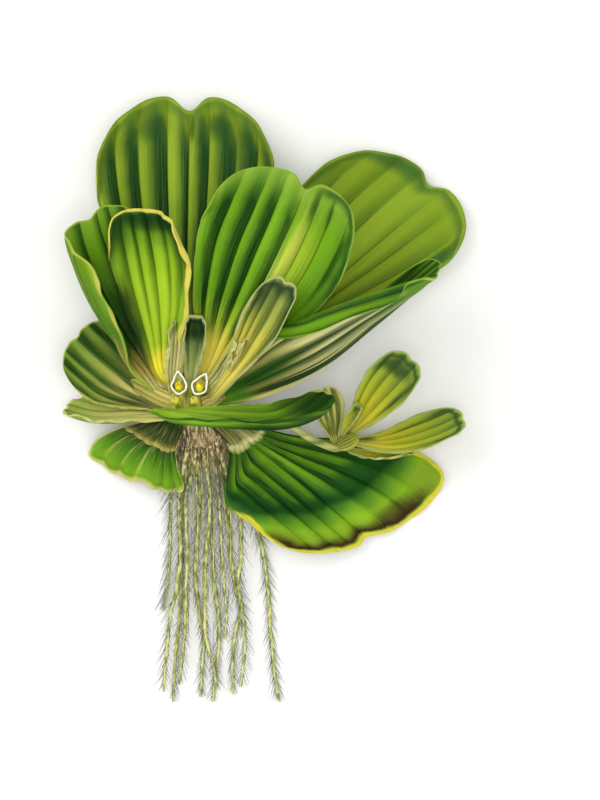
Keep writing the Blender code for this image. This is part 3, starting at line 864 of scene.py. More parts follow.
# %% Side and low left leaves
side_left_underside = blade_side(
    "side_left_underside",
    [(0.0, CREAM), (0.3, (200, 184, 108)), (0.6, (150, 156, 70)), (1.0, (108, 144, 48))],
    [(0.0, (104, 98, 50)), (0.25, (52, 74, 34)), (0.6, DEEP), (1.0, DARK)],
    shade=0.85, line=0.22, lean=0.25, margin=(190, 184, 96),
    patches=((0.27, 0.50, 0.17, 0.42, (26, 72, 22), 0.9),))
make_leaf(side_left, UNDERSIDE, side_left_underside)
low_left_face = blade_side(
    "low_left_face",
    [(0.0, PALE), (0.5, (190, 188, 108)), (1.0, (150, 168, 70))],
    [(0.0, GREY_GREEN), (1.0, LEAF)],
    shade=0.5, line=0.2)
low_left_underside = blade_side(
    "low_left_underside",
    [(0.0, CREAM), (0.7, (208, 200, 124)), (1.0, (150, 168, 70))],
    [(0.0, (120, 124, 66)), (1.0, LEAF)],
    shade=0.6, line=0.25)
make_leaf(low_left, low_left_face, low_left_underside, cells=(70, 40))

# %% [markdown]
# ## The leaves below
#
# Two leaves hang over the roots. Their pleated necks are cream, with painted shade between
# the pleats; past a sharp cream fold the left blade is green between pale ribs and the right
# one between furrows of painted shade, with a painted shadow band above its lip. The right
# one is old: it has a yellow margin, and a scorched brown ring inside it.

# %% Lower left leaf
lower_left = Leaf(
    "lower_left_leaf",
    ((-8, -5.2, 20.9), (-11, -11, 20.5), (-15, -19, 16.5), (-20, -31, 7.5)),
    ((0.0, 0.3, 1), (-0.28, -0.25, 1)), (18.5, 26), (-8, -12), widest=(1.0, 0.95), swell=(3, 1.3), foot=5.5,
    rounding=0.12, skew=0.12, ribs=7, fold=(0.36, 0.8))
# The dark start of the crest run is painted shade in the hollow of the neck; the pale valley run is the
# colour of the raised ribs.
lower_left_face = blade_side(
    "lower_left_face",
    [(0.0, (34, 56, 28)), (0.27, (48, 66, 30)), (0.33, (112, 112, 54)), (0.36, (176, 166, 88)),
     (0.375, (20, 62, 8)), (0.5, (52, 104, 14)), (0.75, (96, 150, 22)), (1.0, (130, 174, 34))],
    [(0.0, (150, 150, 84)), (0.24, (214, 200, 116)), (0.36, (226, 208, 112)), (0.40, (222, 222, 136)),
     (0.75, (196, 212, 96)), (1.0, (150, 184, 48))],
    shade=0.1, line=0.22, margin=(222, 206, 132), margin_mm=2.4, bare=(-1, 2, 0.93), ragged=0.02,
    ring=(2.6, 5.0, 0.9, -1, (60, 84, 26), 0.5))
make_leaf(lower_left, lower_left_face, UNDERSIDE)

# %% Lower right leaf
lower_right = Leaf(
    "lower_right_leaf",
    ((12, -4.4, 23.6), (20, -11, 20.6), (35, -23, 13), (52, -37, 6), (72, -54, 1.4)),
    ((0.05, 0.15, 1), (0.1, 0.05, 1)), (41, 26), (10, 8), widest=(1.0, 0.27), foot=5.5, rounding=0.2,
    swell=(2.4, 5.5), notch=0.04, skew=-0.2, tip_lift=1.5, ribs=8, fold=(0.17, 0.8))
# Painted shade: the dark stretch of the crest run and the broad spot across the blade are the shadow band
# above the lip, and the dark valley run fills the furrows and the neck's pleats. The brown ring and the brown
# spot by the tip are the scorched edge.
lower_right_face = blade_side(
    "lower_right_face",
    [(0.0, (160, 158, 92)), (0.11, (184, 178, 110)), (0.15, (222, 214, 152)), (0.164, (230, 222, 164)),
     (0.178, (84, 140, 26)), (0.36, (130, 182, 34)), (0.56, (114, 168, 30)), (0.665, (80, 138, 30)),
     (0.71, (30, 86, 20)), (0.755, (26, 82, 20)), (0.80, (100, 154, 34)), (0.87, (144, 186, 36)),
     (0.94, (132, 168, 38)), (1.0, OLIVE)],
    [(0.0, (40, 52, 26)), (0.148, (48, 66, 26)), (0.163, (206, 198, 136)), (0.178, (214, 206, 140)),
     (0.195, DARK), (0.74, (14, 56, 14)), (0.80, (64, 118, 30)), (0.87, (128, 170, 36)), (1.0, OLIVE)],
    shade=0.95, line=0.3, lean=0.12, reach=0.85, margin=(244, 220, 70), margin_mm=2.2, bare=(-1, 2, 0.55),
    arch=0.0, corner=0.775, ragged=0.02,
    ring=(2.4, 8.5, 0.8, 0.14, (54, 32, 18), 1.0),
    patches=((0.10, 0.90, 0.09, 0.1, (124, 150, 38), 0.5), (0.30, 0.93, 0.16, 0.07, (64, 52, 20), 0.75),
             (0.24, 0.66, 0.24, 0.09, (22, 74, 18), 0.8)))
make_leaf(lower_right, lower_right_face, UNDERSIDE, cells=(120, 80))

# %% [markdown]
# ## The front leaf and the folded leaf
#
# The front leaf stands on its edge across the crown, so we see it as a long green band. The
# folded leaf on the right shows its striped underside, and its upper edge rolls back over
# as a bright green lip.

# %% Front leaf
front = Leaf(
    "front_leaf",
    ((-12, -1.7, 33.7), (-3, -3.3, 42), (14, -5.2, 43.8), (33, -5.8, 42.8), (46, -1.2, 39), (55, 5.5, 36)),
    ((0, 0.93, 0.36), (0.1, 0.93, 0.36)), (13, 17), (20, 40), widest=(0.6, 0.6), foot=4, rounding=0.42,
    notch=0, ribs=5)
# The dark spots on both sides are painted shade: at the right end, along the middle and along the lower edge.
front_face = blade_side(
    "front_face",
    [(0.0, LIME), (0.25, (164, 198, 60)), (0.7, (130, 176, 38)), (1.0, LEAF)],
    [(0.0, LEAF), (0.3, (44, 92, 20)), (0.7, DEEP), (1.0, DARK)],
    shade=0.6, lean=0.4, line=0.14, margin=(184, 198, 96), margin_mm=0.8, bare=(0.5, 2, 2),
    patches=((0.5, 0.90, 0.5, 0.2, DARK, 0.85), (0.45, 0.55, 0.09, 0.42, (22, 68, 14), 0.9)))
front_underside = blade_side(
    "front_underside",
    [(0.0, LIME), (0.3, (136, 186, 34)), (0.75, (122, 170, 28)), (1.0, LEAF)],
    [(0.0, LEAF), (0.3, DEEP), (1.0, DARK)],
    shade=0.7, margin=BRIGHT, margin_mm=0.6, bare=(0.5, 2, 2),
    patches=((0.80, 0.66, 0.12, 0.32, (14, 54, 12), 0.95), (0.80, 0.88, 0.3, 0.12, DARK, 0.8)))
make_leaf(front, front_face, front_underside, cells=(80, 80))

# %% Folded leaf
folded = Leaf(
    "right_folded_leaf",
    ((8.6, 2.6, 28), (31, 9, 32), (52, 18.5, 34), (71, 33, 36), (99, 55, 38)),
    ((-0.2, 0.5, -0.85), (-0.3, 0.65, 0.15)), (12, 34), (100, 28), lip=(0, -165), widest=(0.55, 0.5),
    foot=4.0, rounding=0.22, notch=0.02, skew=-0.06, swell=(1.6, 1.1), ribs=7)
folded_face = blade_side(
    "folded_face",
    [(0.0, LEAF), (0.25, BRIGHT), (0.8, (106, 150, 18)), (1.0, LEAF)],
    [(0.0, LEAF), (0.4, DEEP), (1.0, DARK)],
    shade=0.9, line=0.3, margin=(116, 160, 40), margin_mm=0.5, stripes=2.0)
folded_underside = blade_side(
    "folded_underside",
    [(0.0, LEAF), (0.14, (220, 208, 110)), (0.5, (228, 224, 156)), (1.0, (210, 212, 156))],
    [(0.0, DEEP), (0.2, (30, 58, 24)), (0.7, (44, 74, 44)), (1.0, (96, 112, 70))],
    shade=1.0, line=0.2, lean=0.1, margin=(214, 206, 92), margin_mm=1.2, stripes=1.6,
    patches=((0.66, 0.2, 0.14, 0.24, (34, 84, 22), 0.9), (0.45, 0.08, 0.4, 0.1, (70, 130, 26), 0.85),
             (0.70, 1.0, 0.7, 0.27, (88, 138, 24), 0.97), (0.80, 0.90, 0.06, 0.2, DEEP, 0.9)))
make_leaf(folded, folded_face, folded_underside, cells=(120, 70))

# %% [markdown]
# ## The young leaves in the heart
#
# Two grey-green leaves are still rolled, with cream margins. Between them stand thin pale
# sheaths that once wrapped the buds, and two more lie over the feet of the leaves. The
# sheaths are as thin as paper and have no solid of their own, so they are made here, from
# plans like those of the leaves.

# %% Young leaf
young = Leaf(
    "young_leaf",
    ((8.0, 3.8, 32.6), (12.5, 9, 39.5), (20, 19, 46.2), (29, 34, 51.6), (38, 51, 54.4)),
    ((-0.5, -0.2, 1), (-0.4, -0.1, 1)), (10, 13), (35, 60), widest=(0.75, 0.75), foot=2.5, rounding=0.3,
    swell=(2.4, 2.8), notch=0.02, ribs=6, relief=0.6, thick=(1.6, 0.8), wave=0.15)
YOUNG_MARGIN = (190, 184, 138)
# The ring is painted shade in the hollow at the rolled top, inside the pale margin.
young_face = blade_side(
    "young_face",
    [(0.0, (226, 210, 110)), (0.3, (222, 206, 90)), (0.55, (204, 194, 76)), (0.75, (156, 164, 70)),
     (1.0, (130, 148, 72))],
    [(0.0, OCHRE), (0.4, (136, 134, 52)), (0.7, (74, 94, 38)), (1.0, (58, 84, 38))],
    shade=0.7, line=0.2, margin=YOUNG_MARGIN, margin_mm=1.2, ragged=0.4,
    ring=(1.5, 10, 0.76, -1, (44, 66, 34), 1.0),
    patches=((0.8, 0.6, 0.08, 0.3, (70, 94, 44), 0.7),))
make_leaf(young, young_face, UNDERSIDE, (60, 50))

# %% Centre leaf
centre = Leaf(
    "centre_leaf",
    ((-0.5, 9.8, 32.6), (0.2, 18, 35), (1.2, 28, 40), (2, 37, 45)),
    ((0, -0.6, 1), (0, -0.5, 1)), (6.4, 6.4), (70, 60), widest=(0.75, 0.75), foot=2, rounding=0.3, notch=0.01,
    ribs=3, relief=0.4, thick=(1.4, 0.8), wave=0.25)
centre_face = blade_side(
    "centre_face",
    [(0.0, (184, 184, 104)), (0.4, (148, 164, 96)), (0.7, (100, 124, 70)), (1.0, (90, 112, 62))],
    [(0.0, GREY_GREEN), (0.5, (60, 88, 44)), (1.0, (36, 64, 28))],
    shade=0.6, line=0.2, margin=YOUNG_MARGIN, margin_mm=1.5, ragged=0.2,
    ring=(2.0, 9, 0.66, -1, (18, 44, 16), 1.0),
    patches=((0.5, 0.76, 0.2, 0.16, (18, 44, 16), 0.9),))
make_leaf(centre, centre_face, UNDERSIDE, (50, 50))

# %% Plans of the sheaths
sheaths = (
    Leaf("heart_sheath_left", ((-6.5, 6.5, 31), (-7, 14, 35.5), (-6.2, 24, 39), (-5.4, 35, 42)),
         ((0.3, -0.5, 1), (0.3, -0.4, 1)), (4.4, 4.2), (30, 40), foot=2.8, rounding=0.5, ribs=5, relief=0.4,
         thick=(0.7, 0.4), wave=1.1),
    Leaf("heart_sheath_right", ((4.6, 7.4, 32), (8.2, 10.5, 37.5), (12, 15.5, 41), (15.4, 21.5, 44)),
         ((-0.3, -0.3, 1), (-0.3, -0.3, 1)), (2.4, 2.4), (30, 40), foot=1.8, rounding=0.5, ribs=3, relief=0.4,
         thick=(0.7, 0.4), wave=0.8),
    Leaf("curled_sheath", ((12.5, 11.4, 38), (15.5, 16, 43.5), (18.4, 21.5, 46.4), (20.8, 28.2, 48.2)),
         ((-0.7, -0.3, 1), (-0.7, -0.3, 1)), (5.6, 5.2), (120, 110), widest=(0.95, 0.95), swell=(3, 3),
         foot=1.2, ribs=4, relief=0.3, thick=(0.7, 0.5), wave=0.8),
    Leaf("foot_sheath_left", ((-3.0, 1.4, 32.0), (-11.0, 3.2, 30.0), (-25, 10.5, 22.0)),
         ((-0.1, -0.2, 1), (-0.1, -0.2, 1)), (5.0, 4.4), (-35, -35), widest=(0.4, 0.4), foot=3.4,
         rounding=0.9, ribs=5, relief=0.4, thick=(0.8, 0.4), wave=0),
    Leaf("foot_sheath_right", ((3.5, 0.8, 32.0), (8.2, 2.8, 33.0), (13.5, 5.0, 31.8)),
         ((0.1, -0.3, 1), (0.1, -0.3, 1)), (3.2, 2.8), (-30, -30), widest=(0.4, 0.4), foot=2.8,
         rounding=0.9, ribs=4, relief=0.4, thick=(0.8, 0.4), wave=0),
)
print("sheaths:", len(sheaths))

# %% Sheaths
SHEATH = blade_side(
    "pale_sheath",
    [(0.0, (226, 212, 122)), (0.6, (214, 208, 144)), (1.0, PALE)],
    [(0.0, (120, 112, 52)), (0.5, (112, 122, 70)), (1.0, (92, 108, 58))],
    shade=0.6, line=0.25, margin=(214, 204, 140), margin_mm=0.4, ragged=0.5)
FOOT = blade_side(
    "foot_sheath",
    [(0.0, (222, 208, 118)), (0.5, (204, 190, 108)), (1.0, (176, 168, 86))],
    [(0.0, (132, 124, 60)), (0.5, (120, 114, 56)), (1.0, (78, 96, 44))],
    shade=0.5, line=0.2, margin=OCHRE, margin_mm=0.3, ragged=0.4)
for leaf in sheaths:
    side = FOOT if leaf.name.startswith("foot") else SHEATH
    make_leaf(leaf, side, side, (44, 34), node=False)

# %% [markdown]
# ## The daughter plant
#
# It has the same build at a third of the size, in yellower colours, at the end of a short
# runner. Its five leaves share their colours and the painted shade under their rims, apart
# from the patches of painted shade that differ from leaf to leaf.

# %% Plans of the daughter's leaves
daughter_leaves = (
    Leaf("daughter_leaf_left", ((56.8, -11.3, 15.6), (55.4, -6, 18.5), (53.6, 1, 20.5), (51.2, 8, 20.5)),
         ((0.3, 0.3, -1), (0.3, 0.2, -1)), (7.5, 8), (30, 30), widest=(0.7, 0.7), foot=2.2,
         rounding=0.3, ribs=5, relief=0.9, thick=(1.6, 0.8), wave=0.2, dive=4),
    Leaf("daughter_leaf_up", ((63.2, -9.2, 16), (69, -2, 22), (77, 8, 27), (88, 20, 31)),
         ((-0.4, -0.4, 1), (-0.4, -0.3, 1)), (11, 12), (40, 50), widest=(0.72, 0.72), foot=2.2,
         rounding=0.3, notch=0.02, ribs=5, relief=0.9, thick=(1.6, 0.8), wave=0.2, dive=3),
    Leaf("daughter_leaf_right", ((65.9, -13.5, 15), (80, -14, 15), (95, -10, 16), (109, -4, 19)),
         ((-0.1, 0.5, 0.9), (-0.1, 0.5, 0.9)), (9, 10), (40, 45), widest=(0.65, 0.65), foot=2.2,
         rounding=0.35, notch=0.02, ribs=5, relief=0.9, thick=(1.6, 0.8), wave=0.2, dive=2),
    Leaf("daughter_leaf_low", ((64.2, -17.4, 13), (72, -19, 12), (82, -18.5, 11.5), (90, -16, 11.5)),
         ((0, 0.6, 0.8), (0, 0.6, 0.8)), (4, 4), (50, 60), widest=(0.6, 0.6), foot=1.6,
         rounding=0.4, ribs=3, relief=0.5, thick=(1.2, 0.7), dive=2),
    Leaf("daughter_leaf_young", ((60.6, -9.6, 18.5), (63, -4, 23), (67, 2, 27)),
         ((0, -0.5, 1), (0, -0.5, 1)), (3, 3), (60, 60), widest=(0.7, 0.7), foot=1.2,
         rounding=0.35, ribs=1, relief=0.3, thick=(1.0, 0.7), dive=2),
)
print("daughter leaves:", len(daughter_leaves))

# %% Daughter leaves
SHADED = (50, 76, 38)
SHADED_PATCHES = {
    "daughter_leaf_up": ((0.40, 0.84, 0.45, 0.11, SHADED, 0.9), (0.84, 0.62, 0.10, 0.3, SHADED, 0.85)),
    "daughter_leaf_right": ((0.80, 0.62, 0.06, 0.3, SHADED, 0.8), (0.2, 0.5, 0.06, 0.3, SHADED, 0.5),
                            (0.3, 0.06, 0.3, 0.14, (44, 72, 26), 0.8)),
}
for leaf in daughter_leaves:
    face = blade_side(leaf.name + "_face",
                      [(0.0, (188, 176, 84)), (0.25, (212, 200, 52)), (0.6, (174, 184, 48)),
                       (1.0, (128, 160, 64))],
                      [(0.0, (110, 116, 44)), (0.5, (104, 126, 42)), (1.0, (52, 84, 42))],
                      shade=0.6, line=0.16, margin=(180, 190, 112), margin_mm=1.0, ragged=0.25,
                      ring=(1.8, 4.6, 0.75, -1, SHADED, 0.9),
                      patches=SHADED_PATCHES.get(leaf.name, ()))
    underside = blade_side(leaf.name + "_underside",
                           [(0.0, (214, 206, 96)), (0.6, (228, 216, 130)), (1.0, (206, 200, 120))],
                           [(0.0, (96, 108, 42)), (1.0, (74, 96, 54))],
                           shade=0.85, line=0.22, lean=0.35, margin_mm=0.8)
    make_leaf(leaf, face, underside, (50, 40))

# %% [markdown]
# ## The crown
#
# The crown is a short knob of stem with a brown collar where the roots break out. Two
# stretched spheres joined by a Boolean make it.


# %% Stem finish
def stem_finish(name, pale, dark, squeeze=(420, 90, 300)):
    finish = Finish(name, 0.6)
    streak = finish.streaks(squeeze)
    return finish.done(finish.mix(finish.step(streak, 0.35, 0.68), pale, dark), streak, 0.25, 0.7)


CROWN_STEM = stem_finish("crown_stem", (190, 184, 84), (104, 110, 44))
COLLAR_BROWN = stem_finish("collar_brown", (206, 186, 136), (116, 92, 58))
RUNNER_STEM = stem_finish("runner_stem", (190, 192, 118), (112, 132, 66), (50, 500, 500))
print("stem finishes are ready")

# %% Crown
CROWN_CENTRE = (-1.0, 2.0, 27.0)
CROWN_RADII = (8.0, 9.0, 8.0)
COLLAR_CENTRE = (4.8, -7.6, 18.2)
COLLAR_RADII = (7.4, 8.4, 5.0)


def add_ball(name, centre, radii, segments=40, rings=28):
    pick()
    bpy.ops.mesh.primitive_uv_sphere_add(segments=segments, ring_count=rings, radius=1)
    ball = bpy.context.object
    ball.name = name
    move_points(ball, place(read_points(ball) * radii + centre))
    bpy.ops.object.shade_smooth()
    return ball


crown = add_ball("crown_stem", CROWN_CENTRE, CROWN_RADII)
crown.data.materials.append(CROWN_STEM)
collar = add_ball("root_collar", COLLAR_CENTRE, COLLAR_RADII)
collar.data.materials.append(COLLAR_BROWN)
fuse = crown.modifiers.new("fuse", "BOOLEAN")
fuse.operation = "UNION"
fuse.object = collar
fuse.material_mode = "TRANSFER"
apply_all(crown)
bpy.data.objects.remove(collar)
bpy.ops.object.shade_smooth_by_angle(angle=math.radians(50))
stand_for(crown, "crown")
print("crown faces:", len(crown.data.polygons))

# %% [markdown]
# ## The daughter's crown
#
# The daughter's leaves grow from a pleated knob, which lies on its side at the end of the
# runner. A sphere is drawn out along its length and pinched between its pleats. It wears the
# finish of a blade, so it gets the two maps of a blade as well.

# %% Daughter's crown
KNOB_CENTRE = (62.0, -13.6, 15.4)
KNOB_LENGTHWISE = np.array([0.88, 0.46, 0.12])
KNOB_CROSSWISE = np.array([-0.46, 0.88, 0.0])
KNOB_WIDE, KNOB_HIGH = 3.4, 4.0
FRONT_LENGTH, BACK_LENGTH = 5.2, 4.6
PLEATS = 14
PLEAT_DEPTH = 0.12
FAR_FROM_MARGIN = 5.0
KNOB_FACE = blade_side(
    "daughter_knob",
    [(0.0, (196, 190, 108)), (0.5, (178, 180, 78)), (1.0, (190, 188, 56))],
    [(0.0, (84, 96, 44)), (0.5, (62, 88, 36)), (1.0, (96, 112, 40))],
    shade=0.75, line=0.22, margin_mm=0.1, ragged=0.4)
knob = add_ball("daughter_knob", (0, 0, 0), (1, 1, 1), 112, 32)
across, up, ahead = (read_points(knob) / MM - place((0, 0, 0)) / MM).T
turn = np.arctan2(up, across)
pinch = 1 - PLEAT_DEPTH * np.abs(np.cos(turn * PLEATS / 2)) ** 3
stretch = np.where(ahead > 0, FRONT_LENGTH, BACK_LENGTH)
points = np.array(KNOB_CENTRE) + (ahead * stretch)[:, None] * KNOB_LENGTHWISE
points = points + (across * pinch * KNOB_WIDE)[:, None] * KNOB_CROSSWISE
points = points + (up * pinch * KNOB_HIGH)[:, None] * (0, 0, 1)
move_points(knob, place(points))
round_share = turn / (2 * np.pi) + 0.5
lay_map(knob, "blade", round_share, ahead / 2 + 0.5)
lay_map(knob, "pads", round_share * PLEATS, np.full(len(turn), FAR_FROM_MARGIN))
knob.data.materials.append(KNOB_FACE)
stand_for(knob, "daughter_crown")
print("daughter's crown faces:", len(knob.data.polygons))

# %% [markdown]
# ## The runner
#
# A runner is a round stem. It is drawn as a curve with a bevel, because a curve keeps its
# thickness round every bend, and then made a mesh. The roots are drawn the same way later.

# %% Runner
RUNNER_RADIUS = 1.5
MERGE_WITHIN = 0.000005


def on_whole_mesh(operator, **settings):
    """Runs one edit mode operator on all of the active piece."""
    bpy.ops.object.mode_set(mode="EDIT")
    bpy.ops.mesh.select_all(action="SELECT")
    operator(**settings)
    bpy.ops.object.mode_set(mode="OBJECT")


def draw_tube(name, paths, radii, roundness):
    """Round stems along one or more paths, made a mesh."""
    curve = bpy.data.curves.new(name, "CURVE")
    curve.dimensions = "3D"
    for path, radius in zip(paths, radii):
        spline = curve.splines.new("POLY")
        spline.points.add(len(path) - 1)
        for point, spot, width in zip(spline.points, path, radius):
            point.co = (*spot, 1)
            point.radius = width
    curve.bevel_depth = MM
    curve.bevel_resolution = roundness
    curve.use_fill_caps = True
    pick(add_to_scene(name, curve))
    bpy.ops.object.convert(target="MESH")
    on_whole_mesh(bpy.ops.mesh.remove_doubles, threshold=MERGE_WITHIN)
    bpy.ops.object.shade_smooth_by_angle(angle=math.radians(60))
    return bpy.context.object


runner_route = smooth_path(((4.4, -2.4, 26.5), (16, -5, 27), (28, -5.5, 24), (38, -6, 20), (47, -12, 16),
                            (56.6, -16, 14.5), (60.6, -15.2, 14.8)), 60)
radii = np.full(len(runner_route), RUNNER_RADIUS)
runner = draw_tube("runner_stem", [place(runner_route)], [radii], 5)
runner.data.materials.append(RUNNER_STEM)
stand_for(runner, "runner")
print("runner, from crown to crown in mm:", round(length_of(runner_route)))

# %% [markdown]
# ## The flowers
#
# Each flower is a white pocket, pointed at the top and open to the front, with a yellow
# spike inside. A little more than half a sphere, drawn out to a point and given a wall,
# makes the pocket. The spikes, and the two small buds below the flowers, are stretched
# spheres whose points are pushed in and out a little, which looks like grain.


# %% Flower finishes
def petal_finish(name, pale, dark):
    finish = Finish(name, 0.5)
    fleck = finish.step(finish.speckle(finish.spot(), 700.0, 2.0), 0.45, 0.7)
    return finish.done(finish.mix(fleck, pale, dark), fleck, 0.15, 0.6)


HOOD_WHITE = petal_finish("hood_white", WHITE, (226, 226, 196))
SPIKE_YELLOW = petal_finish("spike_yellow", (232, 214, 40), (150, 140, 20))
BUD_YELLOW = petal_finish("bud_yellow", (212, 200, 70), (120, 132, 40))
HOOD_INSIDE = petal_finish("hood_inside", (190, 190, 120), (110, 118, 62))
print("flower finishes are ready")

# %% Hoods
FLOWERS = (("left", (-4.9, 9.4, 37.6), 4), ("right", (3.4, 9.0, 37.6), -28))
HOOD_RADII = (3.3, 4.0, 2.8)
HOOD_WALL_MM = 0.65
OPEN_ABOVE = 0.15  # of the radius
POINT, NARROWING = 0.45, 0.35
RIM_WAVES, RIM_WAVE = 5, 0.04
RIM_START, RIM_RUN = -0.25, 0.4  # where the waves begin, and over how much they grow


def add_hood(side, centre, turn):
    pick()
    bpy.ops.mesh.primitive_uv_sphere_add(segments=40, ring_count=28, radius=1)
    hood = bpy.context.object
    hood.name = "hood_" + side
    on_whole_mesh(bpy.ops.mesh.bisect, plane_co=(0, 0, OPEN_ABOVE), plane_no=(0, 0, 1), clear_outer=True)
    points = read_points(hood)
    points[:, 1] += POINT * np.maximum(points[:, 1], 0) ** 3
    points[:, 0] *= 1 - NARROWING * np.maximum(points[:, 1], 0)
    near_rim = ease((points[:, 2] - RIM_START) / RIM_RUN)
    waves = np.sin(RIM_WAVES * np.arctan2(points[:, 1], points[:, 0]) + turn)
    points[:, :2] *= 1 + RIM_WAVE * (near_rim * waves)[:, None]
    points = points * HOOD_RADII
    c, s = math.cos(math.radians(turn)), math.sin(math.radians(turn))
    points = points @ np.array([[c, s, 0], [-s, c, 0], [0, 0, 1]])
    move_points(hood, place(points + centre))
    for material in (HOOD_WHITE, HOOD_INSIDE, HOOD_WHITE):
        hood.data.materials.append(material)
    wall = hood.modifiers.new("wall", "SOLIDIFY")
    wall.thickness = HOOD_WALL_MM * MM
    wall.material_offset = 1
    wall.material_offset_rim = 2
    apply_all(hood)
    bpy.ops.object.shade_smooth_by_angle(angle=math.radians(50))
    stand_for(hood, "flower_hood_" + side)


print("hood height in mm:", round(HOOD_RADII[1] * (2 + POINT), 1))

# %% Spikes and buds
BUDS = (("left", (-6.2, 2.8, 36.2)), ("right", (1.2, 2.9, 37.4)))
SPIKE_RADII, BUD_RADII = (1.5, 2.2, 1.6), (1.9, 1.9, 1.7)
SPIKE_DROP = (0, 0.6, 0)
GRAIN_TURNS, GRAIN_HEIGHT = 4.4, 0.07


def add_lump(name, node, centre, radii, colour):
    lump = add_ball(name, centre, radii, 32, 22)
    points = read_points(lump)
    x, y, z = (points / MM * GRAIN_TURNS).T
    grains = np.sin(x) * np.sin(y) * np.sin(z + 1)
    middle = points.mean(axis=0)
    move_points(lump, middle + (points - middle) * (1 + GRAIN_HEIGHT * grains[:, None]))
    lump.data.materials.append(colour)
    stand_for(lump, node)


for side, centre, turn in FLOWERS:
    add_hood(side, np.array(centre), turn)
    spike_centre = np.array(centre) - SPIKE_DROP
    add_lump("spike_" + side, "flower_spike_" + side, spike_centre, SPIKE_RADII, SPIKE_YELLOW)
for side, centre in BUDS:
    add_lump("small_bud_" + side, "bud_" + side, centre, BUD_RADII, BUD_YELLOW)
print("flowers:", len(FLOWERS), "buds:", len(BUDS))

# %% [markdown]
# ## The roots
#
# A root is a thin olive cord with fine hairs all along it, like a feather. It hangs in one
# of two layers. The cord is drawn like the runner. One hair is modelled as a slim cone with
# a cut across its middle, where it can bend. Its points are copied, turned and scaled for
# every place along the root, which is far quicker than a thousand objects.

# %% Root tables
ROOT_STATIONS = (-24.0, -36.8, -56.4, -70.4, -81.6, -92.8, -104.0, -118.0)
UPPER_HEIGHTS = (20.2, 13.6, 7.6, 4.6, 3.7, 3.4, 3.3, 3.3, 3.3)
LOWER_HEIGHTS = (15.8, 9.8, 4.6, 2.0, 1.2, 1.0, 1.0, 1.0, 1.0)


@dataclass
class Root:
    """One root, in millimetres, from the collar down to its tip."""

    name: str
    layer: str
    radius: float
    across: tuple  # its place across at each station
    fringe: tuple = (7.0, 7.0)  # how long its hairs are on the left and on the right
    short: float = 0.0  # how far it ends before its last station


ROOTS = (
    Root("root_01", "lower", 0.7, (-2.0, -6.8, -8.5, -8.9, -10.0, -11.8), (11, 4)),
    Root("root_02", "upper", 0.9, (-0.7, -3.3, -5.4, -4.8, -6.0, -8.4, -9.8, -10.8, -11.6), (10, 6), 4),
    Root("root_03", "lower", 0.8, (1.1, -1.4, -4.0, -4.2, -4.4, -5.0, -6.1, -7.0, -7.8), (4, 6)),
    Root("root_04", "upper", 0.9, (1.7, 0.4, -2.6, -2.2, -2.4, -2.8, -3.2, -4.4, -5.4), short=7),
    Root("root_05", "lower", 0.9, (3.2, 2.8, 2.8, 1.6, 1.4, 2.8, 4.4, 4.0, 3.2), short=2),
    Root("root_06", "upper", 0.9, (4.4, 5.6, 7.2, 5.6, 5.2, 5.2, 5.6, 8.4, 10.0), short=5),
    Root("root_07", "lower", 0.9, (5.6, 6.6, 6.8, 8.0, 8.8, 10.2, 10.8, 9.6, 8.0)),
    Root("root_08", "upper", 0.7, (6.9, 9.4, 10.8, 11.8, 12.8, 13.6, 13.2)),
    Root("root_09", "lower", 0.9, (8.0, 11.2, 14.0, 15.2, 17.0, 19.2, 16.8, 16.0, 16.4), (7, 8), 3),
    Root("root_10", "upper", 0.9, (9.3, 13.4, 18.4, 19.6, 18.6, 20.0, 21.2, 20.4, 19.2), (7, 9), 6),
    Root("root_11", "lower", 0.9, (10.6, 16.2, 22.4, 28.0, 30.0, 30.8, 31.6, 32.6, 34.8), (9, 9)),
)
print("roots:", len(ROOTS))

# %% Root finishes
BROWN_ENDS = float(place((0, -32, 0))[1])  # below it the roots are olive
BROWN_FADES_OVER = 0.018


def root_finish(name, pale, dark, top):
    finish = Finish(name, 0.6)
    streak = finish.streaks((900.0, 260.0, 900.0))
    body = finish.mix(finish.step(streak, 0.35, 0.66), pale, dark)
    brown = finish.mix(finish.step(streak, 0.42, 0.56), top, (100, 76, 52))
    high = finish.step(finish.axis(finish.spot(), 1), BROWN_ENDS, BROWN_ENDS + BROWN_FADES_OVER)
    return finish.done(finish.mix(high * 0.9, body, brown), streak, 0.2, 0.6)


ROOT_OLIVE = root_finish("root_olive", (214, 216, 142), (122, 132, 62), (218, 200, 156))
HAIR_GREY = root_finish("hair_grey", (120, 124, 118), (60, 62, 70), (140, 118, 98))
print("the brown ends at y =", BROWN_ENDS)

# %% One hair
pick()
bpy.ops.mesh.primitive_cone_add(vertices=3, radius1=1, radius2=0.25, depth=1, location=(0, 0, 0.5))
bpy.ops.object.transform_apply(location=True)
on_whole_mesh(bpy.ops.mesh.bisect, plane_co=(0, 0, 0.55), plane_no=(0, 0, 1))
hair_object = bpy.context.object
hair_points = read_points(hair_object)
hair_faces = [tuple(face.vertices) for face in hair_object.data.polygons]
bpy.data.objects.remove(hair_object)
print("one hair has", len(hair_points), "points and", len(hair_faces), "faces")

# %% The path of a root
INTO_COLLAR = 1.5
PATH_POINTS = 110


def root_path(root):
    """From inside the collar's skin down through the root's stations."""
    heights = UPPER_HEIGHTS if root.layer == "upper" else LOWER_HEIGHTS
    beside = (root.across[0] - COLLAR_CENTRE[0]) / COLLAR_RADII[0]
    above = (heights[0] - COLLAR_CENTRE[2]) / COLLAR_RADII[2]
    ahead = np.sqrt(max(1 - beside ** 2 - above ** 2, 0.12))
    start = COLLAR_CENTRE[1] - COLLAR_RADII[1] * ahead + INTO_COLLAR
    stations = [start, *ROOT_STATIONS[:len(root.across) - 1]]
    stations[-1] += root.short
    return smooth_path(list(zip(root.across, stations, heights)), PATH_POINTS)


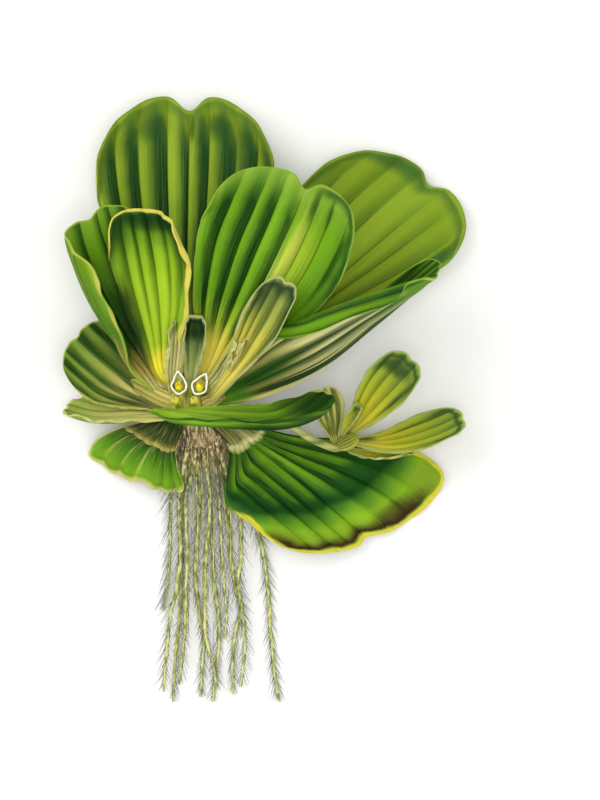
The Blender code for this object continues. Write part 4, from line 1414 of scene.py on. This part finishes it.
print("longest root in mm:", round(max(length_of(root_path(root)) for root in ROOTS)))

# %% Hairs along a root
HAIRS_PER_MM = 2.2
BARE_TOP, BARE_TIP = 12, 4  # points of the path that carry no hair
TOP_GROWN, GROWN_OVER = 0.4, 12  # how far the first hairs are grown, and by how many points all are
CLOSE_ANGLES, WIDE_ANGLES = (8, 20), (18, 36)  # away from the root, in degrees
SIZES, CLOSE_SIZE = (0.6, 1.0), 0.6  # shares of the fringe
SHORTEST_HAIR, TIP_ROOM = 1.5, 0.2
HAIR_WIDTHS = (0.12, 0.19)
LIFTS, BENDS = (-0.06, 0.3), (-0.06, 0.16)


def one_hair(root, path, down, spot, k, rng):
    """The points of one hair that leaves the root at a spot of its path, or None if it would
    be too short."""
    index = int(spot)
    start = path[index] + (path[index + 1] - path[index]) * (spot - index)
    hand = k % 2
    close = k % 4 > 1
    turn = math.radians(rng.uniform(*(CLOSE_ANGLES if close else WIDE_ANGLES))) * (1, -1)[hand]
    aim = unit(np.array([down[0] * math.cos(turn) + down[1] * math.sin(turn),
                         down[1] * math.cos(turn) - down[0] * math.sin(turn), rng.uniform(*LIFTS)]))
    size = root.fringe[hand] * rng.uniform(*SIZES) * ease(TOP_GROWN + (spot - BARE_TOP) / GROWN_OVER)
    size = size * (CLOSE_SIZE if close else 1)
    size = min(size, (start[1] - path[-1][1] - TIP_ROOM) / max(-aim[1], 0.1))
    if size < SHORTEST_HAIR:
        return None
    bend = unit(down - aim * float(down @ aim))
    width = rng.uniform(*HAIR_WIDTHS)
    shaft = hair_points[:, 2:3]
    made = start + shaft * aim * size + shaft ** 2 * bend * size * rng.uniform(*BENDS)
    return made + width * (hair_points[:, :1] * bend + hair_points[:, 1:2] * np.cross(aim, bend))


def add_hairs(root, path, seed):
    rng = np.random.default_rng(seed)
    run = unit(np.gradient(path, axis=0))
    count = int(length_of(path) * HAIRS_PER_MM)
    points, faces = [], []
    for k in range(count):
        spot = BARE_TOP + (len(path) - BARE_TOP - BARE_TIP) * (k + rng.random()) / count
        made = one_hair(root, path, run[int(spot)], spot, k, rng)
        if made is not None:
            first = len(points) * len(hair_points)
            faces += [tuple(i + first for i in face) for face in hair_faces]
            points.append(made)
    mesh = bpy.data.meshes.new(root.name)
    mesh.from_pydata(within_box(place(np.vstack(points))), [], faces)
    mesh.materials.append(HAIR_GREY)
    return add_to_scene(root.name + "_hairs", mesh), len(points)


print("hairs for each mm of root:", HAIRS_PER_MM)

# %% Make the roots
KNOTS, KNOT_SIZES = 60, (0.75, 1.12)
WIGGLES, WIGGLE_MM = 45, 0.14
FULLNESS, TAPER = 1.1, 0.45
for seed, root in enumerate(ROOTS):
    path = root_path(root)
    share = np.linspace(0, 1, len(path))
    rng = np.random.default_rng(100 + seed)
    knots = np.interp(share, np.linspace(0, 1, KNOTS), rng.uniform(*KNOT_SIZES, KNOTS))
    wandering = path.copy()
    wandering[:, 0] += np.interp(share, np.linspace(0, 1, WIGGLES), rng.normal(0, WIGGLE_MM, WIGGLES))
    thickness = FULLNESS * root.radius * (1 - TAPER * share ** 2) * knots
    cord = draw_tube(root.name + "_cord", [place(wandering)], [thickness], 2)
    move_points(cord, within_box(read_points(cord)))
    cord.data.materials.append(ROOT_OLIVE)
    hairs, count = add_hairs(root, path, seed)
    pick(hairs, cord)
    bpy.ops.object.join()
    stand_for(cord, root.name)
    print(cord.name, "hairs:", count, "faces:", len(cord.data.polygons))

# %% [markdown]
# ## The skirt of root tops
#
# Where the roots break out, a brown skirt of young root tips and dry fibres covers the
# collar. It is ninety short tapering strands, with ten long thin rootlets among them, in one
# mesh.

# %% Root skirt
SHORT_STRANDS, LONG_STRANDS = 90, 10
SHORT_POINTS, LONG_POINTS = 14, 50
SHORT_WIDTHS, LONG_WIDTHS = (0.16, 0.4), (0.25, 0.45)
SKIRT_ROWS = (  # middle across, half spread, place along, its slack, height, drop at the sides
    (3.9, 8.2, -9.5, (-1, 1), 22.2, 4.5),
    (4.0, 10.4, -16, (-2, 2), 17.2, 4.0),
    (4.2, 11.4, -21, (-7, 2), 13.4, 3.0),
)
rng = np.random.default_rng(7)
strands, widths = [], []
for k in range(SHORT_STRANDS):
    side = (k + 0.5) / SHORT_STRANDS * 2 - 1
    lift = rng.uniform(0.0, 1.0)
    stray = rng.normal(0, 0.7, 3)
    route = [(3.6 + 5.2 * side, -3.0 + rng.uniform(-1.0, 1.0), 23.6 + 2.4 * lift * (1 - side ** 2))]
    for (middle, spread, down, slack, height, drop), off in zip(SKIRT_ROWS, stray):
        route.append((middle + spread * side + off, down + rng.uniform(*slack),
                      height + 2.0 * lift - drop * side ** 2))
    strands.append(place(smooth_path(route, SHORT_POINTS)))
    widths.append(rng.uniform(*SHORT_WIDTHS) * (1 - 0.75 * np.linspace(0, 1, SHORT_POINTS)))
for k in range(LONG_STRANDS):
    side = (k + 0.5) / LONG_STRANDS * 2 - 1
    drop = rng.uniform(0.45, 1.0)
    route = ((4.0 + 7.5 * side, -9, 21.0), (4.2 + 9.5 * side, -20, 14), (5.4 + 11 * side, -40, 7),
             (5.4 + rng.uniform(10, 14) * side, -40 - 34 * drop, 3.2),
             (5 + rng.uniform(9, 15) * side, -42 - 70 * drop, 2.2))
    strands.append(place(smooth_path(route, LONG_POINTS)))
    widths.append(rng.uniform(*LONG_WIDTHS) * (1 - 0.7 * np.linspace(0, 1, LONG_POINTS)))
skirt = draw_tube("root_skirt", strands, widths, 1)
skirt.data.materials.append(ROOT_OLIVE)
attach(skirt, "root")
print("skirt faces:", len(skirt.data.polygons))

# %% [markdown]
# ## Table finish
#
# The table is off-white and matt.

# %% Finish
TABLE_WHITE = (0.88, 0.88, 0.87, 1)
matt = Finish("table_white", 0.85)
matt.shader.inputs["Base Color"].default_value = TABLE_WHITE
table.data.materials.append(matt.material)
